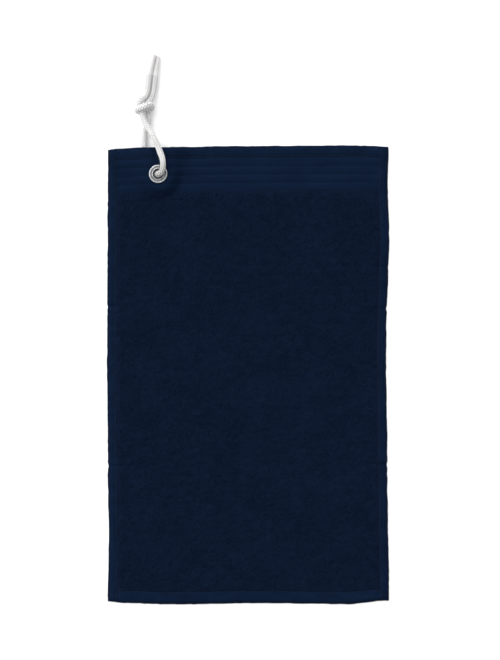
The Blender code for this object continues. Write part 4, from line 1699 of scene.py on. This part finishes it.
@dataclass
class CordLoop:
    """The cord: down through the eyelet, back under the cloth, knotted, with two sleeved tails.

    Routes are measured from the eyelet's axis, and heights from the table.
    """

    braid: Braid
    sleeve: Sleeve
    eyelet: tuple[float, float] = (-0.0967, 0.2164)
    knot: tuple[float, float] = (-0.0150, 0.0735)
    front: Route = (
        (-0.0007, -0.0003, IN_BORE), (-0.0007, -0.0003, IN_BORE + 0.0011),
        (-0.0003, -0.0003, OVER_RING - 0.0030), (0.0012, 0.0001, OVER_RING - 0.0011),
        (0.0031, 0.0012, OVER_RING - 0.0001), (0.0045, 0.0037, OVER_RING),
        (0.0053, 0.0071, OVER_RING - 0.0002), (0.0054, 0.0106, OVER_RING - 0.0005),
        (0.0052, 0.0138, OVER_RING - 0.0008), (0.0041, 0.0182, OVER_CLOTH + 0.0004),
        (0.0021, 0.0235, OVER_CLOTH), (0.0000, 0.0290, OVER_CLOTH), (-0.0022, 0.0340, OVER_CLOTH),
        (-0.0043, 0.0383, OVER_CLOTH), (-0.0064, 0.0427, OVER_CLOTH - 0.0007),
        (-0.0090, 0.0470, OVER_CLOTH - 0.0020), (-0.0120, 0.0513, OVER_CORD + 0.0009),
        (-0.0145, 0.0556, OVER_CORD + 0.0001), (-0.0160, 0.0599, OVER_CORD - 0.0003),
        (-0.0170, 0.0643, OVER_CORD - 0.0005))
    front_in_knot: Route = (
        (-0.0174, 0.0690, 0.0084), (-0.0187, 0.0727, 0.0080), (-0.0208, 0.0758, 0.0088),
        (-0.0194, 0.0797, 0.0100), (-0.0156, 0.0824, 0.0102))
    left_tail: Route = (
        (-0.0131, 0.0857, IN_KNOT), (-0.0122, 0.0900, IN_KNOT - 0.0007),
        (-0.0114, 0.0963, IN_KNOT - 0.0015), (-0.0107, 0.1031, IN_KNOT - 0.0020),
        (-0.0100, 0.1090, IN_KNOT - 0.0023))
    left_tip: tuple[float, float, float] = (-0.0046, 0.1296, IN_KNOT - 0.0025)
    back: Route = (
        (-0.0007, -0.0003, IN_BORE), (-0.0007, -0.0003, IN_BORE - 0.0010),
        (-0.0017, 0.0011, ON_TABLE + 0.0026), (-0.0036, 0.0036, ON_TABLE + 0.0006),
        (-0.0056, 0.0072, ON_TABLE), (-0.0085, 0.0125, ON_TABLE), (-0.0119, 0.0190, ON_TABLE),
        (-0.0146, 0.0255, ON_TABLE), (-0.0158, 0.0319, ON_TABLE), (-0.0154, 0.0400, ON_TABLE),
        (-0.0147, 0.0454, ON_TABLE), (-0.0136, 0.0495, ON_TABLE), (-0.0122, 0.0535, ON_TABLE),
        (-0.0112, 0.0575, ON_TABLE), (-0.0112, 0.0618, ON_TABLE))
    back_in_knot: Route = (
        (-0.0132, 0.0656, 0.0031), (-0.0170, 0.0678, 0.0032), (-0.0204, 0.0688, 0.0054),
        (-0.0214, 0.0696, 0.0096), (-0.0196, 0.0704, 0.0134), (-0.0156, 0.0716, 0.0150),
        (-0.0116, 0.0732, 0.0146), (-0.0086, 0.0745, 0.0116), (-0.0078, 0.0730, 0.0070),
        (-0.0094, 0.0696, 0.0046), (-0.0124, 0.0694, 0.0062), (-0.0136, 0.0728, 0.0076),
        (-0.0120, 0.0768, 0.0070))
    right_tail: Route = (
        (-0.0092, 0.0802, 0.0058), (-0.0070, 0.0856, 0.0048), (-0.0058, 0.0908, ON_TABLE + 0.0010),
        (-0.0049, 0.0967, ON_TABLE + 0.0004), (-0.0042, 0.1031, ON_TABLE + 0.0002),
        (-0.0035, 0.1090, ON_TABLE))
    right_tip: tuple[float, float, float] = (-0.0010, 0.1284, 0.0030)
    spacing: float = 0.0012
    closest: float = 0.90            # of a diameter, where the cord lies squeezed on itself
    apart: float = 1.75             # diameters along the cord within which it can't push on itself
    push: float = 0.5
    pull_back: float = 0.04
    smooth: float = 0.12
    held: tuple[int, int] = (12, 6)     # points that stay put at the eyelet and at the far end
    rounds: int = 260

    def at(self, point: tuple[float, float, float]) -> Points:
        """A point of a route, in the part's frame."""
        return np.array([point[0] + self.eyelet[0], point[1] + self.eyelet[1], point[2]])

    def settle(self, lines: list[Points]) -> list[Points]:
        """Push strands apart where they lie in each other, keeping them smooth and over the table.

        Args:
            lines: The strands' centre lines.
        Returns:
            The settled lines.
        """
        sizes = [len(line) for line in lines]
        points = np.vstack(lines)
        rest = points.copy()
        owner = np.repeat(np.arange(len(lines)), sizes)
        order = np.concatenate([np.arange(s) for s in sizes])
        apart = int(self.apart * self.braid.diameter / self.spacing)
        same = owner[:, None] == owner[None]
        mask = ~(same & (np.abs(order[:, None] - order[None]) < apart))
        mask &= ~((order[:, None] < apart) & (order[None] < apart))
        size = np.array(sizes)[owner]
        held = (order < self.held[0]) | (order > size - self.held[1])
        inner = (order > 0) & (order < size - 1)
        need = self.closest * self.braid.diameter
        for _ in range(self.rounds):
            gap = points[:, None] - points[None]
            far = np.linalg.norm(gap, axis=2) + 1e-9
            short = np.where(mask, np.clip(need - far, 0.0, None), 0.0)
            push = (gap / far[..., None] * short[..., None]).sum(1)
            push /= np.maximum(1, (short > 0).sum(1))[:, None]
            bend = np.zeros_like(points)
            bend[1:-1] = (points[:-2] + points[2:]) / 2 - points[1:-1]
            move = push * self.push + (rest - points) * self.pull_back + bend * inner[:, None] * self.smooth
            points = points + move * ~held[:, None]
            points[:, 2] = np.maximum(points[:, 2], self.braid.diameter / 2 + 0.0001)
        return np.split(points, np.cumsum(sizes)[:-1])

    def build(self) -> list[bpy.types.Object]:
        """Returns:
            The two halves.
        """
        routes = (self.front + self.front_in_knot + self.left_tail,
                  self.back + self.back_in_knot + self.right_tail)
        lines = [smooth_route(tuple(self.at(p) for p in route), self.spacing) for route in routes]
        front, back = self.settle(lines)
        made = []
        for half, name, line, tip, replaced in (
                ("front", "left", front, self.left_tip, ("cord_front_strand", "cord_tail_left", "cord_knot")),
                ("back", "right", back, self.right_tip, ("cord_back_strand", "cord_tail_right"))):
            fine = smooth_route(tuple(line), self.braid.step)
            piece = self.braid.build(f"cord_{half}_half", fine, self.at((*self.knot, 0.0)), replaced)
            sleeve = self.sleeve.build(f"cord_sleeve_{name}", line, self.at(tip), f"cord_tip_{name}")
            log.info("%s: %.1f mm long", piece.name, run_length(fine) * 1000)
            made.append(piece)
        return made


# ---------------------------------------------------------------- studio

@dataclass
class Studio:
    """Floor, soft light and the camera straight above."""

    view_centre: tuple[float, float] = (0.00205, 0.0485)
    view_height: float = 0.7128
    lens: float = 100.0
    sensor: float = 36.0
    surface: float = 0.003
    clip: tuple[float, float] = (0.05, 60.0)
    floor_level: float = -0.0003
    sky: float = 1.40
    dim_side: float = 0.30          # light from the far side, as a share of the mean
    side_turn: float = 0.75         # cosine at which each side is reached
    ceiling: float = 0.35           # light from straight above, as a share of the rest
    horizon: float = 0.30           # light from low down, as a share of the rest
    horizon_top: float = math.radians(24.0)
    backdrop: float = 1.0
    floor_half: float = 14.0
    ceiling_in: float = math.radians(14.0)
    ceiling_out: float = math.radians(34.0)
    sun: float = 0.80
    sun_lean: float = math.radians(38.0)
    sun_from: float = math.radians(128.0)
    sun_angle: float = math.radians(38.0)

    def camera(self) -> None:
        """Place the camera straight over the towel."""
        data = bpy.data.cameras.new("studio_camera")
        data.lens = self.lens
        data.sensor_width = self.sensor
        data.clip_start, data.clip_end = self.clip
        camera = in_scene("studio_camera", data)
        distance = self.view_height * self.lens / self.sensor
        camera.location = (*self.view_centre, self.surface + distance)
        bpy.context.scene.camera = camera

    def lights(self) -> None:
        """A pale sky, brighter on the sun's side and dimmer overhead and low down, and one broad sun."""
        world = bpy.data.worlds.new("studio_sky")
        bpy.context.scene.world = world
        world.use_nodes = True
        n = Nodes(world.node_tree)
        ray = n.add("ShaderNodeTexCoord").outputs["Generated"]
        facing = n.add("ShaderNodeVectorMath", operation="DOT_PRODUCT")
        n.feed(facing.inputs[0], ray)
        n.feed(facing.inputs[1], (math.cos(self.sun_from), math.sin(self.sun_from), 0.0))
        low, high = self.sky * self.dim_side, self.sky * (2.0 - self.dim_side)
        sides = n.rescale(facing.outputs["Value"], -self.side_turn, self.side_turn, low, high)
        parts = n.add("ShaderNodeSeparateXYZ")
        n.feed(parts.inputs[0], ray)
        up = parts.outputs[2]
        ceiling = n.rescale(up, math.cos(self.ceiling_out), math.cos(self.ceiling_in), 1.0, self.ceiling)
        horizon = n.rescale(up, 0.0, math.sin(self.horizon_top), self.horizon, 1.0)
        strength = n.maths("MULTIPLY", n.maths("MULTIPLY", sides, ceiling), horizon)
        seen = n.add("ShaderNodeLightPath").outputs["Is Camera Ray"]
        plain_back = n.maths("MULTIPLY", seen, self.backdrop)
        lit = n.maths("MULTIPLY", strength, n.maths("SUBTRACT", 1.0, seen))
        background = world.node_tree.nodes["Background"]
        n.feed(background.inputs["Strength"], n.maths("ADD", plain_back, lit))
        n.feed(background.inputs["Color"], (1.0, 1.0, 1.0, 1.0))
        data = bpy.data.lights.new("studio_softbox", "SUN")
        data.energy = self.sun
        data.angle = self.sun_angle
        light = in_scene("studio_softbox", data)
        across = math.sin(self.sun_lean)
        direction = Vector((math.cos(self.sun_from) * across, math.sin(self.sun_from) * across,
                            math.cos(self.sun_lean)))
        light.rotation_euler = direction.to_track_quat("Z", "Y").to_euler()
        bpy.context.scene.view_settings.view_transform = "Standard"
        bpy.context.scene.view_settings.look = "None"

    def floor(self) -> None:
        """A plain pale floor."""
        half = self.floor_half
        corners = np.array([(x, y, self.floor_level) for x, y in ((-half, -half), (half, -half),
                                                                  (half, half), (-half, half))])
        mesh = make_mesh("studio_floor", corners, [np.array([[0, 1, 2, 3]])])
        mesh.materials.append(FloorFinish().build())
        in_scene("studio_floor", mesh)

    def build(self) -> None:
        """Set the studio up."""
        self.camera()
        self.lights()
        self.floor()


def main() -> None:
    """Build the camera, the cord, the cloth with its stitching, and the eyelet."""
    logging.basicConfig(level=logging.INFO, format="%(name)s %(message)s")
    Studio().build()
    effects = Effects()
    cord = CordLoop(Braid(BraidFinish().build(effects)), Sleeve(SleeveFinish().build(effects)))
    cord.build()
    cloth = Cloth(TerryFinish().build(effects), WovenFinish(name="border_navy").build(effects),
                  WovenFinish(name="hem_navy").build(effects))
    towel = cloth.build()
    thread = ThreadFinish().build(effects)
    stitches = [Stitching(cloth, thread, side).build() for side in Side]
    Eyelet(NickelFinish().build(effects)).build()


if __name__ == "__main__":
    main()
